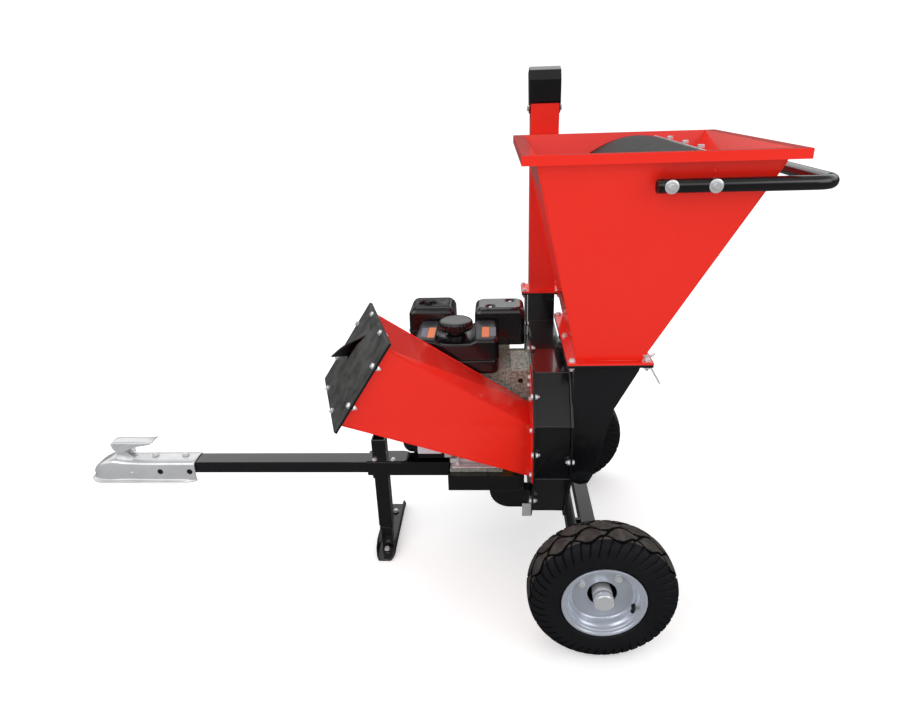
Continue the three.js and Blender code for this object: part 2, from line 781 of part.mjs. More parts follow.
/** Two rubber flaps over the chute's mouth, split down the middle. */
function addFlaps() {
  const [w, h] = [MOUTH_SIZE[0] + 26, MOUTH_SIZE[1] + 30];
  const thick = [SHEET + FIT, SHEET + FIT + 4];
  const slit = 1.5;
  add("flap_far", "rubber", mouthBlock([slit, w / 2], half(h), thick));
  add("flap_near", "rubber", mouthBlock([-w / 2, -slit], half(h), thick));
}

// ---------------------------------------------------------------- tow bar and coupler
function addBeam() {
  const { x, w, h } = BEAM;
  const hole = LEG.w / 2 + 0.5;
  const legX = [LEG.x - hole, LEG.x + hole];
  const sleeve = box(grown(legX, 3), half(LEG.w + 7), [BEAM_TOP - h - 14, BEAM_TOP + PLATE]);
  const plate = prism("z", plateOutline(x[0], -560, w + 4), BEAM_TOP, BEAM_TOP + PLATE);
  const outer = join(box(x, half(w), [BEAM_TOP - h, BEAM_TOP]), plate, sleeve);
  const well = box(legX, half(2 * hole), [0, 999]);
  const wide = SCREW.r + FIT;
  const tapped = turned("y", [LEG.x, SCREW.z], [[wide, 0], [wide, 99]], 14);
  add("frame_beam", "black", cut(outer, well, tapped));

  const bar = box([BAR.x0, x[0] - FIT], half(BAR.w), [BEAM_TOP - BAR.h, BEAM_TOP]);
  const bore = box([BAR.x0 - 1, x[0] - 12], half(BAR.w - 8), [BEAM_TOP - BAR.h + 4, BEAM_TOP - 4]);
  add("tow_bar", "black", cut(bar, bore));
}

/** A plate square at one end and rounded at the other, seen from above. */
function plateOutline(from, to, width) {
  const points = [[from, -width / 2]];
  const centre = to - width / 2;
  for (let k = 0; k <= 10; k += 1) {
    const angle = -Math.PI / 2 + (Math.PI * k) / 10;
    points.push([centre + (width / 2) * Math.cos(angle), (width / 2) * Math.sin(angle)]);
  }
  points.push([from, width / 2]);
  return points;
}

function dome(by) {
  const [a, b, c] = DOME.r;
  const ball = new THREE.SphereGeometry(1, 24, 14);
  return ball.scale(a + by, b + by, c + by).translate(DOME.x, 0, DOME.z);
}

function addCoupler() {
  const { back, w, top, base } = COUPLER;
  const skin = SHEET;
  const channel = box([DOME.x, back], half(w), [base, top]);
  const brim = join(
    prism("z", brimOutline(BRIM_R), base, base + skin),
    box([DOME.x, back], half(w + 28), [base, base + skin]),
  );
  const below = box([-1999, 0], half(400), [0, base]);
  const hollow = join(
    dome(-skin),
    box([DOME.x, back + 1], half(BAR.w + 2 * FIT), [base - 9, BEAM_TOP + FIT]),
    prism("z", brimOutline(BRIM_R - 17), base - 9, base + 9),
  );
  const lugs = [-14, 10].map((y) =>
    box([LATCH.x - 13, LATCH.x + 13], [y, y + 4], [DOME.z, LATCH.z + 11]),
  );
  const eye = turned("y", [LATCH.x, LATCH.z], [[5 + FIT, -20], [5 + FIT, 20]], 14);
  add("coupler", "zinc", cut(join(dome(0), channel, brim, ...lugs), below, hollow, eye));
}

const BRIM_R = 52;

/** Rim round the coupler's nose, seen from above. */
function brimOutline(radius) {
  const points = [];
  for (let k = 0; k <= 14; k += 1) {
    const angle = Math.PI / 2 + (Math.PI * k) / 14;
    points.push([
      DOME.x + (radius + DOME.r[0] - BRIM_R) * Math.cos(angle),
      radius * Math.sin(angle),
    ]);
  }
  points.push([DOME.x + 10, -radius], [DOME.x + 10, radius]);
  return points;
}

function addLatch() {
  const { x, z } = LATCH;
  const side = [
    [x - 12, z - 8],
    [x + 12, z - 8],
    [x + 16, z + 10],
    [x + 112, z + 24],
    [x + 114, z + 28],
    [x - 28, z + 28],
    [x - 28, z + 14],
  ];
  const cap = box([x - 30, x + 116], half(46), [z + 24, z + 28]);
  const pin = turned("y", [x, z], [[5, -17], [5, 17]], 14);
  add("coupler_latch", "zinc", join(prism("y", side, -9.5, 9.5), cap, pin));
}

// ---------------------------------------------------------------- stand leg
function addLeg() {
  const { x, w, wall, top, shoulder, post, foot } = LEG;
  const span = [x - w / 2, x + w / 2];
  const tube = box(span, half(w), [shoulder, top]);
  const inner = box([x - post / 2, x + post / 2], half(post), [foot, shoulder + 1]);
  const bore = box(grown(span, -wall), half(w - 2 * wall), [shoulder + 8, top + 1]);
  add("stand_leg", "black", cut(join(tube, inner), bore));

  const shoeX = [x - FOOT.w / 2, x + FOOT.w / 2];
  const trough = prism("x", shoeSide(), shoeX[0], shoeX[1]);
  const hollow = box(grown(shoeX, -5), [FOOT.y[0] - 9, FOOT.y[1] + 9], [foot - FIT, 99]);
  add("stand_foot", "black", cut(trough, hollow));

  const out = BEAM.w / 2 + FIT;
  const shank = turned("y", [x, SCREW.z], [[SCREW.r, w / 2 + FIT], [SCREW.r, out + 1]], 14);
  const grip = [[13, out], [13, out + 6], [9, out + 20]];
  add("leg_clamp", "zinc", join(shank, turned("y", [x, SCREW.z], grip, 18)));
}

/** The foot's side outline in Y and Z, with both ends cut back. */
function shoeSide() {
  const [near, far] = FOOT.y;
  return [
    [near, 0],
    [far, 0],
    [far, 5],
    [far - 34, FOOT.h],
    [near + 34, FOOT.h],
    [near, 5],
  ];
}

// ---------------------------------------------------------------- engine bed
function addBed() {
  const { x, y, z } = BED;
  const plateZ = z[1] - 10;
  const pieces = [
    box(x, y, [plateZ, z[1]]),
    box(x, [y[0] + 2, y[0] + 50], [z[0], plateZ + 1]),
    box(x, [y[1] - 50, y[1] - 2], [z[0], plateZ + 1]),
    box([x[0], x[0] + 44], grown(y, -3), [z[0] + 1, plateZ + 1]),
  ];
  add("engine_bed", "black", join(...pieces));
  for (const [suffix, from] of [["near", y[0] + 2], ["far", y[1] - 48]]) {
    add(`bed_gusset_${suffix}`, "black", prism("y", gussetSide(), from, from + 46));
  }
}

const GUSSET_R = 62;

/** Side of the corner plate between the bed's rail and the housing's left plate. */
function gussetSide() {
  const top = BED.z[0] - FIT;
  const end = DRUM_X[0] - PLATE - FIT;
  const outline = [];
  for (let k = 0; k <= 8; k += 1) {
    const angle = Math.PI + (Math.PI / 2) * (k / 8);
    outline.push([end - 66 + GUSSET_R * Math.cos(angle), top + GUSSET_R * Math.sin(angle)]);
  }
  return [...outline, [end, top - GUSSET_R], [end, top]];
}

// ---------------------------------------------------------------- engine
const CRANK = ROTOR_CENTRE;
const CASE_Y = CRANK[0] - 90;
const SHROUD_X = -548;
const SHELF_Z = ENGINE_BASE + 320;
const DECK_Z = ENGINE_BASE + 343;

function addEngine() {
  const base = ENGINE_BASE;
  const face = DRUM_X[0] - PLATE - FIT;
  const [cy] = CRANK;
  const ringBore = turned("x", CRANK, [[SHAFT_R + 6, -999], [SHAFT_R + 6, 0]], 20);
  const block = prism(
    "x",
    [
      [cy - 61, base + 14],
      [cy + 75, base + 14],
      [cy + 115, base + 178],
      [cy + 115, base + 318],
      [cy + 25, base + 346],
      [cy - 61, base + 318],
    ],
    face - 58,
    face,
  );
  add("engine_adapter", "cast", cut(block, ringBore));

  const rear = face - 58 - FIT;
  const feet = box([-428, -262], [cy - 133, cy + 111], [base, base + 12]);
  const caseTop = base + 198;
  const crankcase = prism(
    "x",
    [
      [CASE_Y + 3, base + 10],
      [cy + 81, base + 10],
      [cy + 97, base + 58],
      [cy + 97, caseTop],
      [CASE_Y, caseTop],
      [CASE_Y, base + 43],
    ],
    -430,
    rear,
  );
  const crankBore = turned("x", CRANK, [[SHAFT_R + 2, rear - 60], [SHAFT_R + 2, 0]], 20);
  add("crankcase", "cast", cut(join(feet, crankcase), crankBore));

  const barrel = prism(
    "x",
    [
      [cy - 59, caseTop + FIT],
      [cy + 97, caseTop + FIT],
      [cy + 175, base + 238],
      [cy + 205, base + 318],
      [cy + 205, DECK_Z],
      [cy + 83, DECK_Z],
      [cy + 80, SHELF_Z],
      [cy - 59, SHELF_Z],
    ],
    -470,
    rear,
  );
  const pocket = box([-450, rear + 1], [cy - 40, cy + 78], [caseTop + 20, SHELF_Z - 20]);
  add("cylinder_block", "cast", cut(barrel, pocket));

  const fan = prism("x", fanOutline(), SHROUD_X, -430 - FIT);
  const clear = box([-470 - FIT, 0], [-99, 400], [caseTop, 900]);
  add("fan_shroud", "plastic", cut(fan, clear));
  addRecoil(SHROUD_X - FIT);
}

function fanOutline() {
  const points = [];
  for (let k = 0; k <= 18; k += 1) {
    const angle = Math.PI * (0.85 + (1.3 * k) / 18);
    points.push([CRANK[0] + 105 * Math.cos(angle), CRANK[1] + 105 * Math.sin(angle)]);
  }
  points.push([CRANK[0] + 170, 625], [CRANK[0] + 170, 675], [CRANK[0] - 55, 675]);
  return points;
}

function addRecoil(at) {
  const cover = [
    [98, at],
    [98, at - 16],
    [88, at - 30],
    [64, at - 40],
    [40, at - 40],
  ];
  add("recoil_cover", "plastic", turned("x", CRANK, cover, 32));
  add("recoil_grip", "plastic", cushion([at - 24, at], [4, 82], [592, 616], 8, 6));
}

const CAP = [-400, 24]; // filler cap's centre
const CAP_R = 52;
const TANK = { x: [-526, -268], y: [-55, 124], z: [SHELF_Z + FIT, 791] };
const CLEANER = { x: [-562, -408], y: [130, 262], z: [DECK_Z + FIT, 828] };
const MUFFLER = { x: [-346, -186], y: [130, 250], z: [DECK_Z + FIT, 824] };

function addTank() {
  const { x, y, z } = TANK;
  const mid = z[0] + 38;
  const lower = cushion(x, y, [z[0], mid + 8], 26, 8);
  const upper = cushion(grown(x, -5), grown(y, -5), [mid, z[1]], 24, 12);
  const neck = turned("z", CAP, [[26, z[1] - 9], [26, z[1] + 8]], 24);
  add("fuel_tank", "plastic", join(lower, upper, neck));
  const low = z[1] + 8 + FIT;
  const cap = [
    [CAP_R - 3, low],
    [CAP_R, low + 4],
    [CAP_R, low + 22],
    [CAP_R - 6, low + 28],
  ];
  add("fuel_cap", "plastic", turned("z", CAP, cap, 32));
}

function addTopGear() {
  const housing = cushion(CLEANER.x, CLEANER.y, CLEANER.z, 16, 8);
  const knobAt = [-500, 186];
  const well = turned("z", knobAt, [[30, CLEANER.z[1] - 9], [30, CLEANER.z[1] + 9]], 24);
  add("air_cleaner", "plastic", cut(housing, well));
  const knobBase = CLEANER.z[1] - 9 + FIT;
  const knob = [[20, knobBase], [20, knobBase + 3], [11, knobBase + 5], [10, knobBase + 15]];
  add("cleaner_knob", "plastic", turned("z", knobAt, knob, 20));

  const { x, y, z } = MUFFLER;
  const can = cushion(grown(x, -12), grown(y, -12), [z[0], z[1] - 12], 30, 14);
  const inside = box(grown(x, -26), grown(y, -26), [z[0] - 1, z[1] - 30]);
  add("muffler", "steel", cut(can, inside));
  const skirt = prism("z", roundedRect(x, y, 14), z[0], z[0] + 40);
  const lid = cushion(x, y, [z[0] + 20, z[1]], 14, 10);
  const guard = cut(join(skirt, lid), box(grown(x, -5), grown(y, -5), [0, z[1] - 5]));
  add("muffler_guard", "black", guard);

  const plate = box([-430, -392], [CASE_Y - FIT - 5, CASE_Y - FIT], [404, 444]);
  const eye = turned("y", [-410, 424], [[7, -999], [7, 999]], 16);
  add("control_bracket", "zinc", cut(plate, eye));
}

/** Levers, switch and dipstick on the side the operator reaches. */
function addControls() {
  const wall = CASE_Y - FIT;
  const stem = box([-372, -358], [wall - 12, wall], [470, 478]);
  const knob = box([-376, -354], [wall - 14, wall - 3], [464, 508]);
  add("throttle_lever", "plastic", join(stem, knob));
  const dip = [[16, wall], [16, wall - 10], [12, wall - 14]];
  add("oil_dipstick", "plastic", turned("y", [-300, 400], dip, 20));
  add("engine_switch", "plastic", cushion([-424, -400], [wall - 12, wall], [470, 500], 3, 2));
}

// ---------------------------------------------------------------- assembly
addAxle();
addHousing();
addTower();
addRotor();
addInletBox();
addHopper();
addHandle();
addGuard();
addTab();
addChute();
addFlaps();
addBeam();
addCoupler();
addLatch();
addLeg();
addBed();
addEngine();
addTank();
addTopGear();
addControls();

const ends = [DOME.x - 78, HANDLE_X[1] + HANDLE_R];
chipper.position.x = -(ends[0] + ends[1]) / 2;

export default chipper;
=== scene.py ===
"""Towable wood chipper: the finish and fine shapes of every visible surface.

All lengths in the classes are millimetres from the axle's middle on the ground, with +X from the
coupler to the push handle, +Y across and +Z up; they become metres of the shared frame on building.
"""

import logging
import math
from dataclasses import dataclass, field
from enum import Enum

import bmesh
import bpy
import numpy as np
from mathutils import Matrix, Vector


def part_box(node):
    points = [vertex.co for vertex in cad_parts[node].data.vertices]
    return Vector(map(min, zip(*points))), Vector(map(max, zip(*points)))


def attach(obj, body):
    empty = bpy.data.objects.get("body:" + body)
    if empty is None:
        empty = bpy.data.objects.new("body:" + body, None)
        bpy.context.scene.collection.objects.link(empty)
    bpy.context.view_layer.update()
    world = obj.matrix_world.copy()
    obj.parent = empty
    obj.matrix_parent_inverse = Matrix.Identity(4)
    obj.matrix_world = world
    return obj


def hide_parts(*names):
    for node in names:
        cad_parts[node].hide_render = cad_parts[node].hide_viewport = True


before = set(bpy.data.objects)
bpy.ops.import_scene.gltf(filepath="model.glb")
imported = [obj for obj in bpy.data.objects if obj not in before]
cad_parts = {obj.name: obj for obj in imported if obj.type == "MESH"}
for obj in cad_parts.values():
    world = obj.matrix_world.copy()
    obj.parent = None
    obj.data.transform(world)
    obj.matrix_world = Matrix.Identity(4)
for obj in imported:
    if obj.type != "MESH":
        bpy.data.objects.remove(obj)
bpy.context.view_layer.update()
LOG = logging.getLogger("chipper")
MM = 0.001
_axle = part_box("axle")
AXLE_X = (_axle[0].x + _axle[1].x) / 2
Array = np.ndarray


# ------------------------------------------------------------------ curves and surfaces
def chaikin(points: Array, rounds: int = 2, closed: bool = False) -> Array:
    """Rounds a polyline: each side keeps the points at a quarter and three quarters of its length.

    Args:
        points: corners, one row each.
        rounds: how many times the corners are cut.
        closed: whether the last corner joins the first.

    Returns:
        The rounded polyline.
    """
    line = np.asarray(points, float)
    for _ in range(rounds):
        after = np.roll(line, -1, axis=0) if closed else line[1:]
        before = line if closed else line[:-1]
        cut = np.stack([0.75 * before + 0.25 * after, 0.25 * before + 0.75 * after], axis=1)
        cut = cut.reshape(-1, line.shape[1])
        line = cut if closed else np.vstack([line[:1], cut, line[-1:]])
    return line


def spaced(points: Array, count: int, closed: bool = False) -> Array:
    """Puts count points at equal lengths along a polyline by straight interpolation.

    Args:
        points: the polyline.
        count: how many points come out.
        closed: whether the polyline is a loop.

    Returns:
        The evenly spaced points.
    """
    line = np.vstack([points, points[:1]]) if closed else np.asarray(points, float)
    run = np.concatenate([[0.0], np.cumsum(np.linalg.norm(np.diff(line, axis=0), axis=1))])
    at = np.linspace(0, run[-1], count + 1)[:-1] if closed else np.linspace(0, run[-1], count)
    return np.stack([np.interp(at, run, line[:, k]) for k in range(line.shape[1])], axis=1)


def rounded_rect(u: tuple, v: tuple, radius: float, steps: int = 6) -> Array:
    """A rectangle outline with quarter-circle corners: corner centre plus radius times (cos, sin).

    Args:
        u: low and high of the first side.
        v: low and high of the second side.
        radius: corner radius.
        steps: parts of each quarter circle.

    Returns:
        The outline, anticlockwise.
    """
    centre = np.array([(u[1] - radius, v[1] - radius), (u[0] + radius, v[1] - radius),
        (u[0] + radius, v[0] + radius), (u[1] - radius, v[0] + radius)])
    turn = np.radians(np.linspace(0, 90, steps + 1)[None, :] + np.arange(4)[:, None] * 90)
    arc = radius * np.stack([np.cos(turn), np.sin(turn)], axis=-1)
    return (centre[:, None, :] + arc).reshape(-1, 2)


def place(axis: str, along: Array, first: Array, second: Array) -> Array:
    """Stacks values as x, y, z: axis x takes (y, z) across it, y takes (x, z), z takes (x, y)."""
    order = {"x": (along, first, second), "y": (first, along, second), "z": (first, second, along)}
    return np.stack(np.broadcast_arrays(*order[axis]), axis=-1)


def turned(axis: str, centre: tuple, profile: Array, count: int = 48, start: float = 0.5) -> Array:
    """A surface of revolution: centre plus radius times (cos, sin) of the turn, at each step along.

    Args:
        axis: "x", "y" or "z".
        centre: the axis's place across itself.
        profile: rows of (radius, along).
        count: points round the axis.
        start: first turn in parts of a step.

    Returns:
        A grid of points, profile by turn.
    """
    radius, along = np.asarray(profile, float).T[:, :, None]
    turn = (2 * np.pi * (np.arange(count) + start) / count)[None, :]
    return place(axis, along, centre[0] + radius * np.cos(turn), centre[1] + radius * np.sin(turn))


def lobed(axis: str, centre: tuple, radius: Array, along: Array) -> Array:
    """A turned shape whose radius differs from turn to turn: centre plus radius times (cos, sin).

    Args:
        axis: "x", "y" or "z".
        centre: the axis's place across itself.
        radius: one row for each step along, one column for each turn.
        along: a column with each row's place along the axis.

    Returns:
        A grid of points, step by turn.
    """
    turn = full_turn(radius.shape[1])
    return place(axis, along, centre[0] + radius * np.cos(turn), centre[1] + radius * np.sin(turn))


def full_turn(count: int) -> Array:
    """Angles at equal steps round a circle, from 0."""
    return 2 * np.pi * np.arange(count) / count


def stepped(x: tuple, y: tuple, rows: list, count: int) -> Array:
    """Stacks rounded rectangles, each drawn in from the sides x and y.

    Args:
        x: low and high of the first side.
        y: low and high of the second side.
        rows: (inward, height, corner radius) of each rectangle.
        count: points round each rectangle.

    Returns:
        A grid of points, rectangle by point.
    """
    rings = []
    for inward, high, radius in rows:
        sides = (x[0] + inward, x[1] - inward), (y[0] + inward, y[1] - inward)
        ring = spaced(rounded_rect(*sides, radius), count, closed=True)
        rings.append(np.column_stack([ring, np.full(count, high)]))
    return np.stack(rings)


def filled(rings: Array, steps: int) -> Array:
    """Closes the last ring with rings that shrink towards its middle in equal steps."""
    edge = rings[-1:]
    centre = edge.mean(axis=1, keepdims=True)
    fill = centre + (edge - centre) * np.linspace(1, 0, steps)[1:, None, None]
    return np.concatenate([rings, fill])


def swept(path: Array, ring: Array, binormal: tuple) -> Array:
    """Carries a ring along a flat path: path + ring.u * (binormal x tangent) + ring.v * binormal.

    Args:
        path: points of the path.
        ring: (u, v) of the section; one ring, or one for each path point.
        binormal: the direction square to the path's plane.

    Returns:
        A grid of points, path by ring.
    """
    tangent = np.gradient(path, axis=0)
    tangent /= np.linalg.norm(tangent, axis=1, keepdims=True)
    up = np.asarray(binormal, float)
    up = up / np.linalg.norm(up)
    side = np.cross(up, tangent)
    ring = np.asarray(ring, float)
    ring = ring if ring.ndim == 3 else ring[None]
    return path[:, None, :] + ring[..., :1] * side[:, None, :] + ring[..., 1:] * up


def disc(radius: float, count: int) -> Array:
    """A circle as (u, v) points."""
    turn = 2 * np.pi * (np.arange(count) + 0.5) / count
    return radius * np.stack([np.cos(turn), np.sin(turn)], axis=1)


def basis(direction: tuple) -> tuple:
    """Two unit directions square to a direction and to each other, and the direction itself."""
    out = np.asarray(direction, float)
    out = out / np.linalg.norm(out)
    other = np.array([0.0, 0, 1]) if abs(out[2]) < 0.9 else np.array([1.0, 0, 0])
    side = np.cross(other, out)
    side /= np.linalg.norm(side)
    return side, np.cross(out, side), out


class Surface:
    """Gathers grids and flat outlines, then makes one closed mesh object of them."""

    def __init__(self, name: str) -> None:
        """Starts an empty surface called name."""
        self.name = name
        self.points: list = []
        self.faces: list = []
        self.tones: list = []
        self.count = 0

    def _add(self, points: Array, faces: list, tone: int) -> "Surface":
        """Stores points and faces that carry material number tone."""
        self.points.append(points.reshape(-1, 3))
        self.faces += faces
        self.tones += [tone] * len(faces)
        self.count += points.size // 3
        return self

    def grid(self, points: Array, wrap_u: bool = False, wrap_v: bool = True, tone: int = 0) -> "Surface":
        """Joins neighbouring points of a grid into quads.

        Args:
            points: the grid, rows by columns by 3.
            wrap_u: whether the last row joins the first.
            wrap_v: whether the last column joins the first.
            tone: material number.

        Returns:
            The surface itself.
        """
        rows = np.arange(points.shape[0] * points.shape[1]).reshape(points.shape[:2]) + self.count
        rows = np.vstack([rows, rows[:1]]) if wrap_u else rows
        rows = np.hstack([rows, rows[:, :1]]) if wrap_v else rows
        quads = np.stack([rows[:-1, :-1], rows[1:, :-1], rows[1:, 1:], rows[:-1, 1:]], axis=-1)
        return self._add(points, quads.reshape(-1, 4).tolist(), tone)

    def capped(self, points: Array, tone: int = 0) -> "Surface":
        """A grid wrapped round its columns, with each end ring closed towards its middle."""
        ends = [points[:1].mean(axis=1, keepdims=True), points[-1:].mean(axis=1, keepdims=True)]
        ends = [np.repeat(end, points.shape[1], axis=1) for end in ends]
        return self.grid(np.concatenate([ends[0], points, ends[1]]), tone=tone)

    def prism(self, axis: str, outline: Array, low: float, high: float, tone: int = 0) -> "Surface":
        """A flat outline drawn out along an axis, with both ends closed by one face each.

        Args:
            axis: "x", "y" or "z".
            outline: (u, v) points across the axis.
            low: where it begins along the axis.
            high: where it ends.
            tone: material number.

        Returns:
            The surface itself.
        """
        outline = np.asarray(outline, float)
        start, size = self.count, len(outline)
        ends = np.array([low, high])[:, None]
        self.grid(place(axis, ends, outline[None, :, 0], outline[None, :, 1]), tone=tone)
        self.faces += [list(range(start, start + size))[::-1], list(range(start + size, start + 2 * size))]
        self.tones += [tone, tone]
        return self

    def block(self, x: tuple, y: tuple, z: tuple, radius: float, edge: float, tone: int = 0) -> "Surface":
        """A box with upright corners of a radius and top and bottom edges rounded by edge.

        The ring at height h is the rounded rectangle drawn in by edge * (1 - sin a), where h runs
        through the quarter circles z + edge * (1 - cos a).
        """
        turn = np.radians(np.array([0, 22, 45, 68, 90]))
        inward = np.concatenate([edge * (1 - np.sin(turn)), edge * (1 - np.sin(turn[::-1]))])
        height = np.concatenate([z[0] + edge * (1 - np.cos(turn)), z[1] - edge * (1 - np.cos(turn[::-1]))])
        rings = [rounded_rect((x[0] + i, x[1] - i), (y[0] + i, y[1] - i),
            max(radius - i, 0.5)) for i in inward]
        ring = np.stack(rings)
        points = np.concatenate([ring, np.broadcast_to(height[:, None, None], ring.shape[:2] + (1,))],
            axis=-1)
        return self.capped(points, tone)

    def bolt(self, at: tuple, out: tuple, size: float = 8, nut: float = 0, tone: int = 0) -> "Surface":
        """A hexagon head on a washer, and at depth nut behind it a nut on the shank's end.

        Args:
            at: middle of the washer's seat.
            out: direction the head faces.
            size: thread diameter.
            nut: distance from the seat back to the nut's seat; 0 leaves the nut out.
            tone: material number.

        Returns:
            The surface itself.
        """
        side, up, way = basis(out)
        flat = 0.92 * size

        def ringed(profile: list, count: int, sign: float, base: float) -> None:
            """Turns (radius, along) rows round the bolt's own axis."""
            rows = np.array(profile, float)
            turn = 2 * np.pi * np.arange(count) / count
            spoke = np.cos(turn)[:, None] * side + np.sin(turn)[:, None] * up
            spine = np.asarray(at, float) + (base + sign * rows[:, 1])[:, None] * way
            self.grid(spine[:, None, :] + rows[:, :1, None] * spoke[None], tone=tone)

        washer = [(0, 0), (1.05 * size, 0), (1.05 * size, 0.16 * size), (0, 0.16 * size)]
        head = [(flat, 0.16 * size), (flat, 0.66 * size), (0.86 * flat, 0.8 * size), (0, 0.8 * size)]
        ringed(washer, 18, 1, 0)
        ringed(head, 6, 1, 0)
        if nut:
            ringed(washer, 18, -1, -nut)
            ringed([(flat, 0.16 * size), (flat, 0.8 * size), (0.86 * flat, 0.9 * size), (0, 0.9 * size)],
                6, -1, -nut)
            ringed([(0.5 * size, 0.5 * size), (0.5 * size, 1.5 * size), (0, 1.6 * size)], 10, -1, -nut)
        return self

    def weld(self, start: tuple, end: tuple, radius: float = 2.6, pitch: float = 4.5,
            tone: int = 0) -> "Surface":
        """A weld bead: a thin tube whose radius swells with |sin| of the length over the pitch.

        Args:
            start: first end.
            end: last end.
            radius: mean radius.
            pitch: length of one ripple.
            tone: material number.

        Returns:
            The surface itself.
        """
        a, b = np.asarray(start, float), np.asarray(end, float)
        length = float(np.linalg.norm(b - a))
        run = np.linspace(0, 1, max(8, int(3 * length / pitch)))
        side, up, _ = basis(b - a)
        wobble = 0.4 * np.sin(run * length / 23.0)[:, None] * side
        swell = radius * (0.8 + 0.3 * np.abs(np.sin(np.pi * run * length / pitch)))
        spoke = disc(1, 7)
        section = spoke[:, :1] * side + spoke[:, 1:] * up
        spine = a + run[:, None] * (b - a) + wobble
        return self.capped(spine[:, None, :] + swell[:, None, None] * section[None], tone)

    def build(self, body: str, finishes: list, stands_for: tuple = (), slot: str = "",
              bevel: float = 0.0, smooth: float = 35.0, wall: float = 0.0) -> bpy.types.Object:
        """Makes the mesh, dresses it and lets it ride on a body.

        Args:
            body: name of the body it moves with.
            finishes: finishes by tone number.
            stands_for: nodes that this piece replaces.
            slot: the record's material slot; not used.
            bevel: edge rounding in mm; 0 leaves edges sharp.
            smooth: edges flatter than this many degrees are shaded smooth.
            wall: sheet thickness in mm given to an open sheet; 0 for closed shapes.

        Returns:
            The new object.
        """
        mesh = bpy.data.meshes.new(self.name)
        points = np.vstack(self.points) * MM + np.array([AXLE_X, 0, 0])
        mesh.from_pydata(points.tolist(), [], self.faces)
        mesh.polygons.foreach_set("material_index", np.array(self.tones, dtype=np.int32))
        work = bmesh.new()
        work.from_mesh(mesh)
        bmesh.ops.remove_doubles(work, verts=work.verts, dist=2e-6)
        bmesh.ops.recalc_face_normals(work, faces=work.faces)
        work.to_mesh(mesh)
        work.free()
        for finish in finishes:
            mesh.materials.append(finish.material())
        mesh.shade_smooth()
        mesh.set_sharp_from_angle(angle=math.radians(smooth))
        piece = bpy.data.objects.new(self.name, mesh)
        bpy.context.scene.collection.objects.link(piece)
        if wall:
            thick = piece.modifiers.new("sheet", "SOLIDIFY")
            thick.thickness = wall * MM
            thick.offset = 0
        if bevel:
            soften(piece, bevel, smooth)
        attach(piece, body)
        if stands_for:
            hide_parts(*stands_for)
        LOG.info("%s: %d points on %s", self.name, len(mesh.vertices), body)
        return piece


def soften(piece: bpy.types.Object, width: float, angle: float = 35.0) -> None:
    """Rounds a piece's sharp edges with a bevel of width mm."""
    rounding = piece.modifiers.new("edges", "BEVEL")
    rounding.width = width * MM
    rounding.segments = 2
    rounding.limit_method = "ANGLE"
    rounding.angle_limit = math.radians(angle)
    rounding.harden_normals = False
    rounding.use_clamp_overlap = True


# ------------------------------------------------------------------ shader groups
class Graph:
    """Places and joins the nodes of one tree."""

    def __init__(self, tree: bpy.types.NodeTree) -> None:
        """Works on tree."""
        self.tree = tree

    def node(self, kind: str, inputs: dict | None = None, **settings: object) -> bpy.types.Node:
        """Adds a node, sets its properties and fills or joins its inputs.

        Args:
            kind: the node's type.
            inputs: input name or number to a value or to a socket.
            settings: the node's own properties.

        Returns:
            The node.
        """
        node = self.tree.nodes.new(kind)
        for key, value in settings.items():
            setattr(node, key, value)
        for key, value in (inputs or {}).items():
            if isinstance(value, bpy.types.NodeSocket):
                self.tree.links.new(value, node.inputs[key])
            else:
                node.inputs[key].default_value = value
        return node

    def noise(self, at: object, scale: object, detail: float = 4.0,
            rough: float = 0.5) -> bpy.types.NodeSocket:
        """The value of a fractal noise at a place."""
        return self.node("ShaderNodeTexNoise", {"Vector": at, "Scale": scale, "Detail": detail,
            "Roughness": rough}).outputs["Fac"]

    def ramp(self, value: object, low: float, high: float, first: float = 0.0,
            last: float = 1.0) -> bpy.types.NodeSocket:
        """A straight ramp from low..high to first..last, held at its ends."""
        inputs = {"Value": value, "From Min": low, "From Max": high, "To Min": first, "To Max": last}
        return self.node("ShaderNodeMapRange", inputs, clamp=True).outputs["Result"]

    def maths(self, operation: str, a: object, b: object = 0.0) -> bpy.types.NodeSocket:
        """One arithmetic step."""
        return self.node("ShaderNodeMath", {0: a, 1: b}, operation=operation).outputs[0]

    def mix(self, factor: object, a: object, b: object) -> bpy.types.NodeSocket:
        """A colour between a and b."""
        node = self.node("ShaderNodeMix", {0: factor, 6: a, 7: b}, data_type="RGBA")
        return node.outputs[2]


class Effect(Enum):
    """The shader effects that finishes share."""

    TONE = "two_tone_patches"
    GRAIN = "surface_grain"
    DUST = "settled_dust"
    SCRATCH = "fine_scratches"


def _sockets(tree: bpy.types.NodeTree, inputs: list, outputs: list) -> tuple:
    """Gives a group its named inputs and outputs and returns its two end nodes."""
    for name, kind, value in inputs:
        made = tree.interface.new_socket(name=name, in_out="INPUT", socket_type=kind)
        if value is not None:
            made.default_value = value
    for name, kind in outputs:
        tree.interface.new_socket(name=name, in_out="OUTPUT", socket_type=kind)
    return tree.nodes.new("NodeGroupInput").outputs, tree.nodes.new("NodeGroupOutput").inputs


VEC, NUM, COL = "NodeSocketVector", "NodeSocketFloat", "NodeSocketColor"


